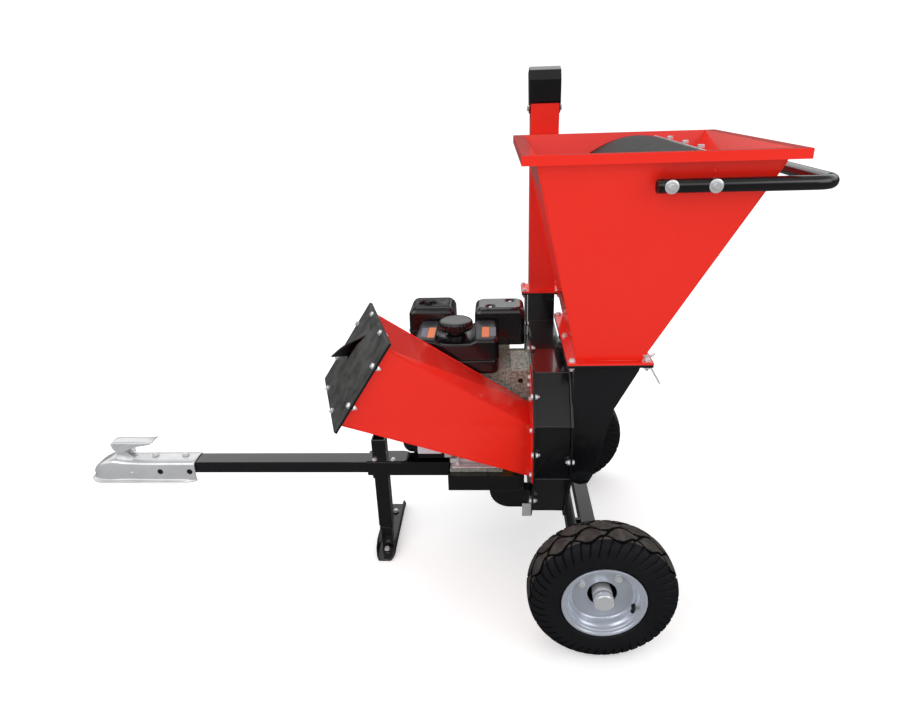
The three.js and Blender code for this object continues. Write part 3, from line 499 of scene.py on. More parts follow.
def effect_group(effect: Effect) -> bpy.types.NodeTree:
    """Builds an effect's node group once and hands it out again after that.

    Args:
        effect: which effect.

    Returns:
        The group.
    """
    if effect.value in bpy.data.node_groups:
        return bpy.data.node_groups[effect.value]
    tree = bpy.data.node_groups.new(effect.value, "ShaderNodeTree")
    graph = Graph(tree)
    if effect is Effect.TONE:
        inside, out = _sockets(tree, [("Vector", VEC, None), ("Scale", NUM, 6.0),
            ("Base", COL, (0.5, 0.5, 0.5, 1)), ("Tone", COL, (0.4, 0.4, 0.4, 1)), ("Contrast", NUM, 0.3),
            ("Gloss", NUM, 0.3), ("Spread", NUM, 0.08)], [("Color", COL), ("Roughness", NUM)])
        patch = graph.noise(inside["Vector"], inside["Scale"], 5, 0.6)
        soft = graph.ramp(patch, 0.35, 0.65)
        tree.links.new(graph.mix(graph.maths("MULTIPLY", soft, inside["Contrast"]), inside["Base"],
            inside["Tone"]), out["Color"])
        fine = graph.noise(inside["Vector"], graph.maths("MULTIPLY", inside["Scale"], 4.3), 3, 0.5)
        shift = graph.maths("MULTIPLY", graph.maths("SUBTRACT", fine, 0.5), inside["Spread"])
        tree.links.new(graph.maths("ADD", inside["Gloss"], graph.maths("MULTIPLY", shift, 2.0)),
            out["Roughness"])
    elif effect is Effect.GRAIN:
        inside, out = _sockets(tree, [("Vector", VEC, None), ("Scale", NUM, 300.0), ("Coarse", NUM, 0.5),
            ("Sharpness", NUM, 0.5)], [("Height", NUM)])
        fine = graph.noise(inside["Vector"], inside["Scale"], 2, 0.6)
        wide = graph.noise(inside["Vector"], graph.maths("MULTIPLY", inside["Scale"], 0.16), 3, 0.5)
        both = graph.maths("ADD", graph.maths("MULTIPLY", wide, inside["Coarse"]), graph.maths("MULTIPLY",
            fine, inside["Sharpness"]))
        tree.links.new(both, out["Height"])
    elif effect is Effect.DUST:
        inside, out = _sockets(tree, [("Vector", VEC, None), ("Scale", NUM, 20.0),
            ("Color", COL, (0.5, 0.5, 0.5, 1)), ("Dust", COL, (0.35, 0.32, 0.28, 1)),
            ("Amount", NUM, 0.2)], [("Color", COL), ("Mask", NUM)])
        normal = graph.node("ShaderNodeNewGeometry").outputs["Normal"]
        up = graph.node("ShaderNodeSeparateXYZ", {0: normal}).outputs["Z"]
        lies = graph.ramp(up, 0.2, 0.95)
        spots = graph.ramp(graph.noise(inside["Vector"], inside["Scale"], 6, 0.7), 0.4, 0.7)
        mask = graph.maths("MULTIPLY", graph.maths("MULTIPLY", lies, spots), inside["Amount"])
        tree.links.new(graph.mix(mask, inside["Color"], inside["Dust"]), out["Color"])
        tree.links.new(mask, out["Mask"])
    else:
        inside, out = _sockets(tree, [("Vector", VEC, None), ("Scale", NUM, 40.0), ("Amount", NUM, 0.5)],
            [("Mask", NUM)])
        streak = graph.node("ShaderNodeMapping", {"Vector": inside["Vector"], "Rotation": (0.4, 0.2, 0.7),
            "Scale": (0.06, 1.0, 1.0)})
        lines = graph.noise(streak.outputs[0], graph.maths("MULTIPLY", inside["Scale"], 3.0), 2, 0.4)
        tree.links.new(graph.maths("MULTIPLY", graph.ramp(lines, 0.66, 0.7), inside["Amount"]), out["Mask"])
    return tree


# ------------------------------------------------------------------ finishes
@dataclass(frozen=True)
class Finish:
    """One surface finish, made into a material on first use."""

    name: str
    base: tuple
    tone: tuple
    rough: float
    metal: float = 0.0
    coat: float = 0.0
    contrast: float = 0.35
    patch: float = 7.0
    spread: float = 0.06
    grain: float = 900.0
    coarse: float = 0.5
    bump: float = 0.12
    depth: float = 0.0002
    dust: float = 0.0
    dust_color: tuple = (0.33, 0.30, 0.26)
    scratch: float = 0.0
    specular: float = 0.5

    def material(self) -> bpy.types.Material:
        """The finish's material: patches, dust and scratches over the base, grain in the normal."""
        title = f"{self.name}_finish"
        if title in bpy.data.materials:
            return bpy.data.materials[title]
        made = bpy.data.materials.new(title)
        made.use_nodes = True
        made.diffuse_color = (*self.base, 1)
        graph = Graph(made.node_tree)
        shader = made.node_tree.nodes["Principled BSDF"]
        coords = graph.node("ShaderNodeTexCoord").outputs["Object"]
        tone = self._effect(graph, Effect.TONE, {"Vector": coords, "Scale": self.patch,
            "Base": (*self.base, 1), "Tone": (*self.tone, 1), "Contrast": self.contrast,
            "Gloss": self.rough, "Spread": self.spread})
        color, rough = tone["Color"], tone["Roughness"]
        if self.dust:
            dust = self._effect(graph, Effect.DUST, {"Vector": coords, "Color": color,
                "Dust": (*self.dust_color, 1), "Amount": self.dust, "Scale": 3 * self.patch})
            color = dust["Color"]
            rough = graph.maths("ADD", rough, graph.maths("MULTIPLY", dust["Mask"], 0.4))
        if self.scratch:
            marks = self._effect(graph, Effect.SCRATCH, {"Vector": coords, "Amount": self.scratch})
            rough = graph.maths("ADD", rough, graph.maths("MULTIPLY", marks["Mask"], 0.25))
        grain = self._effect(graph, Effect.GRAIN, {"Vector": coords, "Scale": self.grain,
            "Coarse": self.coarse})
        bump = graph.node("ShaderNodeBump", {"Height": grain["Height"], "Strength": self.bump,
            "Distance": self.depth})
        links = made.node_tree.links
        links.new(color, shader.inputs["Base Color"])
        links.new(rough, shader.inputs["Roughness"])
        links.new(bump.outputs["Normal"], shader.inputs["Normal"])
        shader.inputs["Metallic"].default_value = self.metal
        shader.inputs["Coat Weight"].default_value = self.coat
        shader.inputs["Coat Roughness"].default_value = 0.06
        shader.inputs["Specular IOR Level"].default_value = self.specular
        return made

    @staticmethod
    def _effect(graph: Graph, effect: Effect, inputs: dict) -> bpy.types.bpy_prop_collection:
        """Places an effect with its own values and returns its outputs."""
        node = graph.node("ShaderNodeGroup", node_tree=effect_group(effect))
        for key, value in inputs.items():
            if isinstance(value, bpy.types.NodeSocket):
                graph.tree.links.new(value, node.inputs[key])
            else:
                node.inputs[key].default_value = value
        return node.outputs


RED = Finish("red_enamel", (0.88, 0.024, 0.012), (0.81, 0.019, 0.010), 0.24, coat=0.5, contrast=0.35,
    patch=3.0, spread=0.03, grain=300, coarse=0.15, bump=0.012, specular=0.35)
BLACK = Finish("black_enamel", (0.0055, 0.0058, 0.0070), (0.0090, 0.0095, 0.0115), 0.22, coat=0.8,
    contrast=0.5, patch=5.0, grain=300, coarse=0.9, bump=0.03, scratch=0.08, specular=0.4)
ZINC = Finish("zinc_plate", (0.80, 0.81, 0.825), (0.62, 0.64, 0.66), 0.24, metal=0.5, coat=0.4,
    contrast=0.5, patch=14.0, spread=0.04, grain=300, coarse=0.2, bump=0.008)
RIM = Finish("rim_paint", (0.60, 0.645, 0.73), (0.49, 0.53, 0.61), 0.24, metal=0.5, coat=0.5,
    contrast=0.35, patch=9.0, grain=400, bump=0.03)
TYRE = Finish("tyre_rubber", (0.0075, 0.0080, 0.0100), (0.0125, 0.0125, 0.0150), 0.50, contrast=0.5,
    patch=11.0, grain=260, bump=0.05, specular=0.12)
TREAD = Finish("tyre_crown", (0.034, 0.032, 0.031), (0.055, 0.050, 0.045), 0.66, contrast=0.6,
    patch=14.0, grain=260, bump=0.10, dust=0.5, dust_color=(0.16, 0.145, 0.128), specular=0.15)
# Near-black painted shade for recesses: the tyre's groove floors and the hub tube deep in the rim's bore.
RECESS_SHADE = Finish("recess_shade_black", (0.0035, 0.0035, 0.004), (0.006, 0.006, 0.0065), 0.8, grain=260, bump=0.03,
    specular=0.05)
SHEET_RUBBER = Finish("sheet_rubber", (0.030, 0.030, 0.030), (0.075, 0.074, 0.071), 0.50, contrast=0.9,
    patch=26.0, spread=0.15, grain=300, bump=0.12, specular=0.3)
DARK_RUBBER = Finish("dark_rubber", (0.009, 0.009, 0.010), (0.016, 0.016, 0.017), 0.5, grain=300,
    bump=0.05, specular=0.25)
CAST = Finish("cast_alloy", (0.15, 0.18, 0.15), (0.54, 0.61, 0.53), 0.55, metal=0.1, contrast=1.0,
    patch=160.0, spread=0.2, grain=300, coarse=1.0, bump=0.3, depth=0.0005)
MACHINED = Finish("machined_alloy", (0.80, 0.80, 0.83), (0.55, 0.55, 0.58), 0.36, metal=0.4,
    contrast=0.6, patch=40.0, spread=0.12, grain=300, bump=0.1)
PLASTIC = Finish("engine_plastic", (0.0045, 0.0047, 0.0053), (0.0078, 0.0080, 0.0088), 0.24, coat=0.5,
    contrast=0.5, patch=9.0, grain=400, coarse=0.2, bump=0.02, specular=0.35)
# A lighter, rougher copy of the black engine plastic, laid only on top faces: painted sheen of the light
# from above.
PAINTED_TOP_SHEEN = Finish("engine_plastic_top_sheen", (0.022, 0.024, 0.028), (0.034, 0.037, 0.042), 0.34, contrast=0.5,
    patch=12.0, grain=400, coarse=0.2, bump=0.03, specular=0.4)
STEEL = Finish("bare_steel", (0.46, 0.46, 0.47), (0.30, 0.30, 0.31), 0.34, metal=0.9, contrast=0.7,
    patch=30.0, spread=0.15, grain=300, bump=0.06, scratch=0.3)
ORANGE = Finish("orange_label", (0.86, 0.22, 0.06), (0.70, 0.16, 0.04), 0.4, grain=900, bump=0.03)
AMBER = Finish("amber_label", (0.86, 0.36, 0.03), (0.74, 0.28, 0.02), 0.4, grain=900, bump=0.03)
GREY_LABEL = Finish("grey_label", (0.17, 0.18, 0.24), (0.10, 0.11, 0.15), 0.42, contrast=0.8, patch=120,
    grain=900, bump=0.03)
PALE_LABEL = Finish("pale_label", (0.66, 0.67, 0.71), (0.52, 0.53, 0.58), 0.35, contrast=0.6, patch=60,
    grain=900, bump=0.03)
# Near-black painted shade, laid on discs and strips that stand for the shade inside holes, louvres and
# slots.
HOLE_SHADE = Finish("shadowed_hole", (0.004, 0.004, 0.004), (0.008, 0.008, 0.008), 0.8, grain=500, bump=0.1)


def dress(node: str, finish: Finish, edges: float = 0.0, angle: float = 35.0) -> None:
    """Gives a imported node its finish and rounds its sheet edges.

    Args:
        node: the node's name.
        finish: its finish.
        edges: edge rounding in mm; 0 leaves them as they are.
        angle: only edges sharper than this many degrees are rounded.
    """
    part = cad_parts[node]
    for holder in part.material_slots:
        holder.material = finish.material()
    if not part.material_slots:
        part.data.materials.append(finish.material())
    if edges:
        weld = part.modifiers.new("joined", "WELD")
        weld.merge_threshold = 2e-5
        flat = part.modifiers.new("flat_faces", "DECIMATE")
        flat.decimate_type = "DISSOLVE"
        flat.angle_limit = math.radians(1.5)
        soften(part, edges, angle)
    LOG.info("%s: packed node in %s", node, finish.name)


# ------------------------------------------------------------------ stage
@dataclass
class Studio:
    """Camera, soft light and a pale floor."""

    place: tuple = (-276.44, -1772.72, 1473.39)
    yaw: float = -0.0587
    pitch: float = 0.3897
    roll: float = -0.0336
    lens: float = 24.635
    shift: tuple = (-0.00287, -0.01314)
    floor: float = 60.0

    def camera(self) -> None:
        """Makes the camera: forward from yaw and pitch, then rolled about it."""
        ahead = np.array([math.sin(self.yaw) * math.cos(self.pitch),
            math.cos(self.yaw) * math.cos(self.pitch), -math.sin(self.pitch)])
        right = np.array([math.cos(self.yaw), -math.sin(self.yaw), 0.0])
        up = np.cross(right, ahead)
        side = right * math.cos(self.roll) + up * math.sin(self.roll)
        top = -right * math.sin(self.roll) + up * math.cos(self.roll)
        data = bpy.data.cameras.new("view")
        data.lens = self.lens
        data.sensor_width = 36.0
        data.sensor_fit = "HORIZONTAL"
        data.shift_x, data.shift_y = self.shift
        data.clip_end = 200
        eye = bpy.data.objects.new("view", data)
        turn = Matrix((side, top, -ahead)).transposed().to_4x4()
        turn.translation = np.array(self.place) * MM + np.array([AXLE_X, 0, 0])
        eye.matrix_world = turn
        bpy.context.scene.collection.objects.link(eye)
        bpy.context.scene.camera = eye

    def light(self) -> None:
        """A pale surround and three wide soft lamps."""
        scene = bpy.context.scene
        scene.view_settings.view_transform = "Standard"
        world = bpy.data.worlds.new("studio")
        world.use_nodes = True
        sky = world.node_tree.nodes["Background"]
        sky.inputs[0].default_value = (1.0, 1.0, 1.0, 1)
        graph = Graph(world.node_tree)
        rays = graph.node("ShaderNodeLightPath").outputs
        way = graph.node("ShaderNodeTexCoord").outputs["Generated"]
        height = graph.node("ShaderNodeSeparateXYZ", {"Vector": way}).outputs["Z"]
        band = graph.maths("MULTIPLY", graph.ramp(height, 0.12, 0.36, 0.0, 1.1), graph.ramp(height, 0.5,
            0.75, 1.0, 0.25))
        mirrored = graph.maths("ADD", band, 0.04)
        shown = graph.maths("MULTIPLY", rays["Is Camera Ray"], 1.05)
        plain = graph.maths("MULTIPLY", rays["Is Diffuse Ray"], 0.86)
        gloss = graph.maths("MULTIPLY", rays["Is Glossy Ray"], mirrored)
        world.node_tree.links.new(graph.maths("ADD", graph.maths("ADD", shown, plain), gloss),
            sky.inputs[1])
        scene.world = world
        lamps = (("key", (-1.8, -2.8, 3.4), (0.2, 0, 0.6), 2.4, 34), ("fill", (2.9, -2.2, 2.2),
            (0.4, 0, 0.7), 2.0, 13), ("top", (0.2, 0.6, 4.2), (0.2, 0, 0.6), 2.6, 27))
        for name, at, to, size, power in lamps:
            data = bpy.data.lights.new(name, "AREA")
            data.shape = "SQUARE"
            data.size = size
            data.energy = power
            data.specular_factor = 0.4
            lamp = bpy.data.objects.new(name, data)
            side, up, way = basis(np.array(at) - np.array(to))
            turn = Matrix((side, up, way)).transposed().to_4x4()
            turn.translation = at
            lamp.matrix_world = turn
            scene.collection.objects.link(lamp)

    def ground(self) -> None:
        """A wide flat floor of plain pale paper."""
        half = self.floor * 500
        run = np.linspace(-half, half, 9)
        u, v = np.meshgrid(run, run, indexing="ij")
        points = np.stack([u, v, np.full_like(u, -0.4)], axis=-1)
        mesh = bpy.data.meshes.new("floor")
        rows = np.arange(81).reshape(9, 9)
        quads = np.stack([rows[:-1, :-1], rows[1:, :-1], rows[1:, 1:], rows[:-1, 1:]], axis=-1)
        mesh.from_pydata((points.reshape(-1, 3) * MM).tolist(), [], quads.reshape(-1, 4).tolist())
        floor = bpy.data.objects.new("floor", mesh)
        paper = Finish("pale_paper", (0.93, 0.93, 0.93), (0.90, 0.90, 0.90), 0.9, grain=60, bump=0.02,
            specular=0.1)
        made = paper.material()
        self.screen(made)
        mesh.materials.append(made)
        bpy.context.scene.collection.objects.link(floor)

    @staticmethod
    def screen(made: bpy.types.Material) -> None:
        """Lets the floor look brighter straight on and darker in mirrored views."""
        graph = Graph(made.node_tree)
        shader = made.node_tree.nodes["Principled BSDF"]
        rays = graph.node("ShaderNodeLightPath").outputs
        links = made.node_tree.links
        color = shader.inputs["Base Color"].links[0].from_socket
        links.new(graph.mix(rays["Is Glossy Ray"], color, (0.09, 0.09, 0.09, 1)),
            shader.inputs["Base Color"])
        shader.inputs["Emission Color"].default_value = (1, 1, 1, 1)
        links.new(graph.maths("MULTIPLY", rays["Is Camera Ray"], 0.34), shader.inputs["Emission Strength"])

    def build(self) -> None:
        """Camera first, then light and floor."""
        self.camera()
        self.light()
        self.ground()


# ------------------------------------------------------------------ wheels
@dataclass
class Wheel:
    """Tyre with moulded tread, stepped rim, axle cap, rim bolts and valve."""

    suffix: str
    side: int
    track: float = 420.0
    axle_z: float = 203.0
    radius: float = 203.0
    half: float = 62.5
    pitches: int = 15
    steps: int = 600

    def _tread(self, turn: Array, across: Array) -> Array:
        """Groove depth in mm at each turn and width place.

        A waving groove runs round the middle, slanted ones leave it on both sides, a scalloped
        one runs at the shoulder, and three times as many ribs run down the side from there.
        """
        wave = turn * self.pitches
        flank = np.abs(across)
        late = np.where(across > 0, 0.0, 0.5)

        def notch(distance: Array, width: float) -> Array:
            """1 on the groove's floor, falling to 0 at its lips."""
            return np.clip(1.6 * np.exp(-((distance / width) ** 2)), 0, 1)

        def stripe(phase: Array, pitch: float, width: float) -> Array:
            """Notches where the phase is whole."""
            return notch((phase - np.round(phase)) * pitch, width)

        length = 2 * np.pi * self.radius / self.pitches
        inner = notch(across - 8 * np.sin(2 * np.pi * wave), 2.2)
        scallop = 35 + 9 * np.cos(2 * np.pi * (wave + late + 0.18))
        middle = stripe(wave + late - flank / 90, length, 2.4) * (flank > 4) * (flank < scallop)
        shoulder = notch(flank - scallop, 2.0)
        fade = np.clip((108 - flank) / 26, 0, 1)
        rib = stripe(3 * (wave + late) - flank / 80 + 0.3, length / 3, 2.2) * (flank > scallop) * fade
        block = np.maximum.reduce([inner, middle, shoulder])
        return 5.5 * block * (flank < 68) + 3.0 * rib * np.where(flank > 86, 0.7, 1)

    def tyre(self) -> None:
        """The tyre: a closed section carried round the axle, its points moved in by the groove depth."""
        s = self.half
        loop = [(103.5, -48), (103.5, 48), (115, 51), (118, 56), (124, 60.0), (148, s), (174, 59.5),
            (191, 50), (200.8, 31), (203, 0), (200.8, -31), (191, -50), (174, -59.5), (148, -s),
            (124, -60.0), (118, -56), (115, -51)]
        section = spaced(chaikin(loop, 3, closed=True), 150, closed=True)
        tangent = np.roll(section, -1, axis=0) - np.roll(section, 1, axis=0)
        tangent /= np.linalg.norm(tangent, axis=1, keepdims=True)
        inward = np.stack([tangent[:, 1], -tangent[:, 0]], axis=1)
        middle = np.array([150.0, 0.0])
        inward *= np.sign(((middle - section) * inward).sum(axis=1, keepdims=True))
        crown = int(np.argmin(np.abs(section[:, 1]) - section[:, 0]))
        run = np.linalg.norm(np.roll(section, -1, axis=0) - section, axis=1)
        along = np.concatenate([[0], np.cumsum(run)[:-1]])
        across = along - along[crown]
        total = run.sum()
        across = (across + total / 2) % total - total / 2
        turn = np.arange(self.steps) / self.steps
        depth = self._tread(turn[None, :], across[:, None]) * (section[:, :1] > 128)
        ridge = 0.9 * np.exp(-(((section[:, 0] - 121) / 1.6) ** 2)) * (np.abs(section[:, 1]) > 50)
        depth = depth - ridge[:, None]
        radius = section[:, :1] + inward[:, :1] * depth
        place_y = self.side * (self.track + section[:, 1:] + inward[:, 1:] * depth)
        angle = 2 * np.pi * turn[None, :]
        points = np.stack([radius * np.cos(angle), place_y, self.axle_z + radius * np.sin(angle)], axis=-1)
        made = Surface(f"tyre_{self.suffix}_tread").grid(points, wrap_u=True)
        # Tone 2, the groove floor deeper than 1.6 mm, is painted with the recess shade; tone 1 is the
        # crown.
        tones = np.where(depth > 1.6, 2, np.where(np.abs(across)[:, None] < 40, 1,
            0)) + np.zeros_like(radius, dtype=int)
        made.tones = tones.reshape(-1).tolist()
        made.build(f"wheel_{self.suffix}", [TYRE, TREAD, RECESS_SHADE], (f"tyre_{self.suffix}",), "tyre_rubber",
            smooth=50)

    def _at(self, rows: Array) -> Array:
        """Rows of (radius, outward) as (radius, y)."""
        rows = np.array(rows, float)
        return np.stack([rows[:, 0], self.side * (self.track + rows[:, 1])], axis=1)

    def rim_shape(self) -> None:
        """Rolled flanges, stepped dish with a flat disc, hub tube, bolts and valve."""
        centre = (0, self.axle_z)
        dish = [(113.3, 51.5), (113.4, 56), (111.5, 57.3), (106.5, 56.6), (105.2, 53.6), (103.6, 52.4),
            (98.4, 51.6), (96.6, 48), (95.4, 42.5), (91, 38), (88.8, 32), (86.6, 24), (82.5, 19.6),
            (77, 18.2), (45, 18.0), (41.4, 18.6), (39.4, 17), (39.0, 12), (40.6, 12), (76, 14.2),
            (84, 17), (90, 28), (95.5, 36), (97.8, 42), (97.8, -46), (104, -52.2), (111.5, -57.3),
            (113.4, -56), (113.3, -51.5), (104.8, -48.8), (101.4, -43), (101.2, 43), (104.8, 48.8)]
        made = Surface(f"rim_{self.suffix}_dish")
        made.grid(turned("y", centre, self._at(chaikin(dish, 2, closed=True)), 96), wrap_u=True)
        # The hub tube inside the centre bore carries the recess shade, painted darker than the rim.
        hub = [(39.2, 17), (40.2, 17), (40.2, -26), (33, -28), (33, -40), (21, -40), (21, -24), (39.2, -22)]
        made.grid(turned("y", centre, self._at(hub), 48), wrap_u=True, tone=1)
        made.build(f"wheel_{self.suffix}", [RIM, RECESS_SHADE], (f"rim_{self.suffix}",), "rim_paint", smooth=40)
        small = Surface(f"rim_{self.suffix}_hardware")
        for degrees in (148.0, 52.0):
            spot = self._around(67, degrees, 18.2)
            small.bolt(spot, (0, self.side, 0), 11.5)
        base = self._around(90, -20, 32)
        stem = swept(np.array([base, base + [-1, self.side * 6, 1], base + [-4, self.side * 12, 2],
            base + [-7, self.side * 18, 3]]), disc(4.2, 14), (0, 0, 1))
        small.capped(stem, tone=1)
        cap = np.array([base + [-6, self.side * 15, 3], base + [-8, self.side * 19, 3.6],
            base + [-10, self.side * 24, 4.2]])
        small.capped(swept(cap, disc(5.4, 14), (0, 0, 1)), tone=1)
        seat = np.array([base + [0, -self.side * 3, 0], base + [0, self.side * 3, 0]])
        small.capped(swept(seat, disc(8.0, 18), (0, 0, 1)), tone=1)
        small.build(f"wheel_{self.suffix}", [ZINC, DARK_RUBBER], bevel=0.5)

    def _around(self, radius: float, degrees: float, out: float) -> Array:
        """A point at a radius and turn on the wheel's outer side."""
        turn = math.radians(degrees)
        return np.array([radius * math.cos(turn), self.side * (self.track + out),
            self.axle_z + radius * math.sin(turn)])

    def axle_cap(self) -> None:
        """Two-step turned end cap: a collar, a groove and a domed cap."""
        rows = [(0, -21), (25, -21), (26.6, 0), (27.1, 9), (27.2, 27), (26.4, 29), (24.6, 30),
            (24.4, 33.4), (26.2, 34.2), (27.2, 36), (27.2, 50), (26.4, 54), (23.6, 56.4), (18, 57),
            (15, 56.6), (0, 56.6)]
        made = Surface(f"axle_cap_{self.suffix}_turned")
        made.grid(turned("y", (0, self.axle_z), self._at(rows), 64))
        made.build(f"wheel_{self.suffix}", [ZINC], (f"axle_cap_{self.suffix}",), "zinc", smooth=30)

    def build(self) -> None:
        """Makes the whole wheel."""
        self.tyre()
        self.rim_shape()
        self.axle_cap()


# ------------------------------------------------------------------ housing, tower, inlet
@dataclass
class Housing:
    """Rotor housing with its side plates, neck, tower and hood, and their fasteners."""

    drum: tuple = ((-217, 418), (-217, 591), (-122, 714), (160, 714), (307, 573), (307, 356), (150, 214),
        (-88, 214))
    plates: tuple = (-176.0, -66.0)
    band: tuple = (-170.0, -72.0)

    def build(self) -> None:
        """Dresses the nodes, then adds bolts, weld beads and the lifting bracket."""
        for node in ("housing_plate_left", "housing_plate_right", "housing_band", "inlet_box",
                "deflector_hood"):
            dress(node, BLACK, 1.2)
        dress("discharge_tower", RED, 1.2)
        dress("rotor_bearing", CAST, 0.8)
        for node in ("hood_bolt_1", "hood_bolt_2"):
            dress(node, ZINC, 0.6, 50)
        bolts = Surface("housing_bolts")
        for y, z in ((304, 708.0), (45, 722.0), (-172, 662.0), (-225, 504.0), (-150, 295.0)):
            bolts.bolt((self.plates[0], y, z), (-1, 0, 0), 8, nut=6.3)
        for y, z in ((-225, 480.0), (105, 722.0), (315, 465.0), (30, 206.0)):
            bolts.bolt((self.plates[1], y, z), (1, 0, 0), 8, nut=6.3)
        for x in (-180.0, -62.0):
            for y in (316.0, 394.0):
                bolts.bolt((x, y, 824.4), (0, 0, 1), 8, nut=12.6)
        bolts.build("frame", [ZINC], slot="zinc")
        self.beads()
        self.bracket()

    def beads(self) -> None:
        """Weld beads across the band at each fold and along the plates."""
        made = Surface("housing_welds")
        for y, z in self.drum:
            if y < 160 or z < 400:
                made.weld((self.band[0], y, z), (self.band[1], y, z), 2.2)
        made.build("frame", [BLACK])

    def bracket(self) -> None:
        """A folded zinc tab under the left plate's near corner."""
        made = Surface("housing_tab")
        made.prism("z", [(-204, -150), (-176.4, -150), (-176.4, -85), (-179.4, -85), (-179.4, -147),
            (-204, -147)], 236, 282)
        made.bolt((-179.5, -102, 259), (-1, 0, 0), 7)
        made.build("frame", [ZINC], bevel=0.7)


@dataclass
class Hopper:
    """Feed hopper, its clip and flange bolts, the push handle and the rubber guard flap."""

    base_x: tuple = (-58.0, 112.0)
    base_y: tuple = (-188.0, 188.0)
    rim_x: tuple = (-188.0, 372.0)
    rim_y: tuple = (-328.0, 302.0)
    base_z: float = 773.0
    rim_z: float = 1335.0
    handle_x: tuple = (80.0, 468.0)
    handle_z: float = 1262.0
    handle_r: float = 16.0
    bend: float = 46.0
    bolt_x: tuple = (109.0, 204.0)
    guard: tuple = (210.0, 1292.0)

    def wall_y(self, side: int, z: float) -> float:
        """The Y of the near (-1) or far (1) wall at a height."""
        k = 0 if side < 0 else 1
        part = (z - self.base_z) / (self.rim_z - self.base_z)
        return self.base_y[k] + part * (self.rim_y[k] - self.base_y[k])

    def shell(self) -> None:
        """Dresses the hopper and adds flange bolts and weld beads."""
        dress("hopper", RED, 1.3)
        bolts = Surface("hopper_bolts")
        top = self.base_z + 6.2
        for x, y in ((-73, -191), (130, -191), (-73, 196), (130, 196), (-73, 0), (130, 0)):
            bolts.bolt((x, y, top), (0, 0, 1), 9, nut=14.8)
        wing = swept(chaikin([(130 - 17, -191, top + 22), (130 - 8, -191, top + 13),
            (130 + 8, -191, top + 13), (130 + 17, -191, top + 22)], 2), disc(3.4, 8), (0, 1, 0))
        bolts.capped(wing)
        bolts.build("frame", [ZINC], slot="zinc")
        made = Surface("hopper_welds")
        x, y, z = self.base_x, self.base_y, self.base_z + 6.6
        corners = [(x[0], y[0], z), (x[1], y[0], z), (x[1], y[1], z), (x[0], y[1], z)]
        for a, b in zip(corners, corners[1:] + corners[:1]):
            made.weld(a, b, 2.4, 6.0)
        rim = [(self.rim_x[0], self.rim_y[0]), (self.rim_x[1], self.rim_y[0]),
            (self.rim_x[1], self.rim_y[1]), (self.rim_x[0], self.rim_y[1])]
        for (bx, by, bz), (rx, ry) in zip(corners, rim):
            made.weld((bx, by, bz), (bx + 0.95 * (rx - bx), by + 0.95 * (ry - by),
                bz + 0.95 * (self.rim_z - bz)), 1.8, 7.0)
        made.build("frame", [RED])
        dress("hopper_clip", ZINC, 0.6)

    def handle(self) -> None:
        """The push handle: a round tube along a U path, with end plugs, stand-offs and washers."""
        reach = self.handle_r + 10
        y0 = self.wall_y(-1, self.handle_z) - reach
        y1 = self.wall_y(1, self.handle_z) + reach
        x0, x1, z, b = self.handle_x[0], self.handle_x[1], self.handle_z, self.bend
        turn = np.linspace(0, 1, 14)[:, None]

        def corner(a: tuple, mid: tuple, c: tuple) -> Array:
            """A quadratic bend: (1-t)^2 a + 2t(1-t) mid + t^2 c."""
            first, last = (1 - turn) ** 2 * np.array(a), turn**2 * np.array(c)
            return first + 2 * turn * (1 - turn) * np.array(mid) + last

        near = corner((x1 - b, y0, z), (x1, y0, z), (x1, y0 + b, z))
        far = corner((x1, y1 - b, z), (x1, y1, z), (x1 - b, y1, z))
        start = np.linspace((x0, y0, z), (x1 - b - 5, y0, z), 8)
        end = np.linspace((x1 - b - 5, y1, z), (x0, y1, z), 8)
        path = np.vstack([start, near, np.linspace((x1, y0 + b + 5, z), (x1, y1 - b - 5, z), 6), far, end])
        made = Surface("push_handle_tube")
        made.capped(swept(path, disc(self.handle_r, 28), (0, 0, 1)))
        for y in (y0, y1):
            plug = [(0, x0 - 0.5), (12, x0 - 0.5), (14.5, x0 + 1), (15.2, x0 + 3), (0, x0 + 3)]
            made.grid(turned("x", (y, z), plug, 28), tone=2)
            ring = [(16.0, x0 + 10), (16.7, x0 + 11), (16.7, x0 + 13), (16.0, x0 + 14)]
            made.grid(turned("x", (y, z), ring, 28), wrap_u=False, tone=0)
        for x in self.bolt_x:
            for side, y in ((-1, y0), (1, y1)):
                wall = self.wall_y(side, z)
                rows = [(11, wall + side * 0.4), (11, y)]
                made.grid(turned("y", (x, z), rows, 20))
                made.bolt((x, wall - side * 4.2, z), (0, -side, 0), 9, tone=1)
                face = y + side * (self.handle_r - 1.5)
                washer = [(0, face), (15, face), (15.4, face + side * 1.4), (13, face + side * 2.6),
                    (0, face + side * 2.6)]
                made.grid(turned("y", (x, z), washer, 28), tone=1)
                made.bolt((x, face + side * 2.4, z), (0, side, 0), 9, tone=1)
        made.build("frame", [BLACK, ZINC, DARK_RUBBER], ("push_handle",), "black_paint", smooth=32)

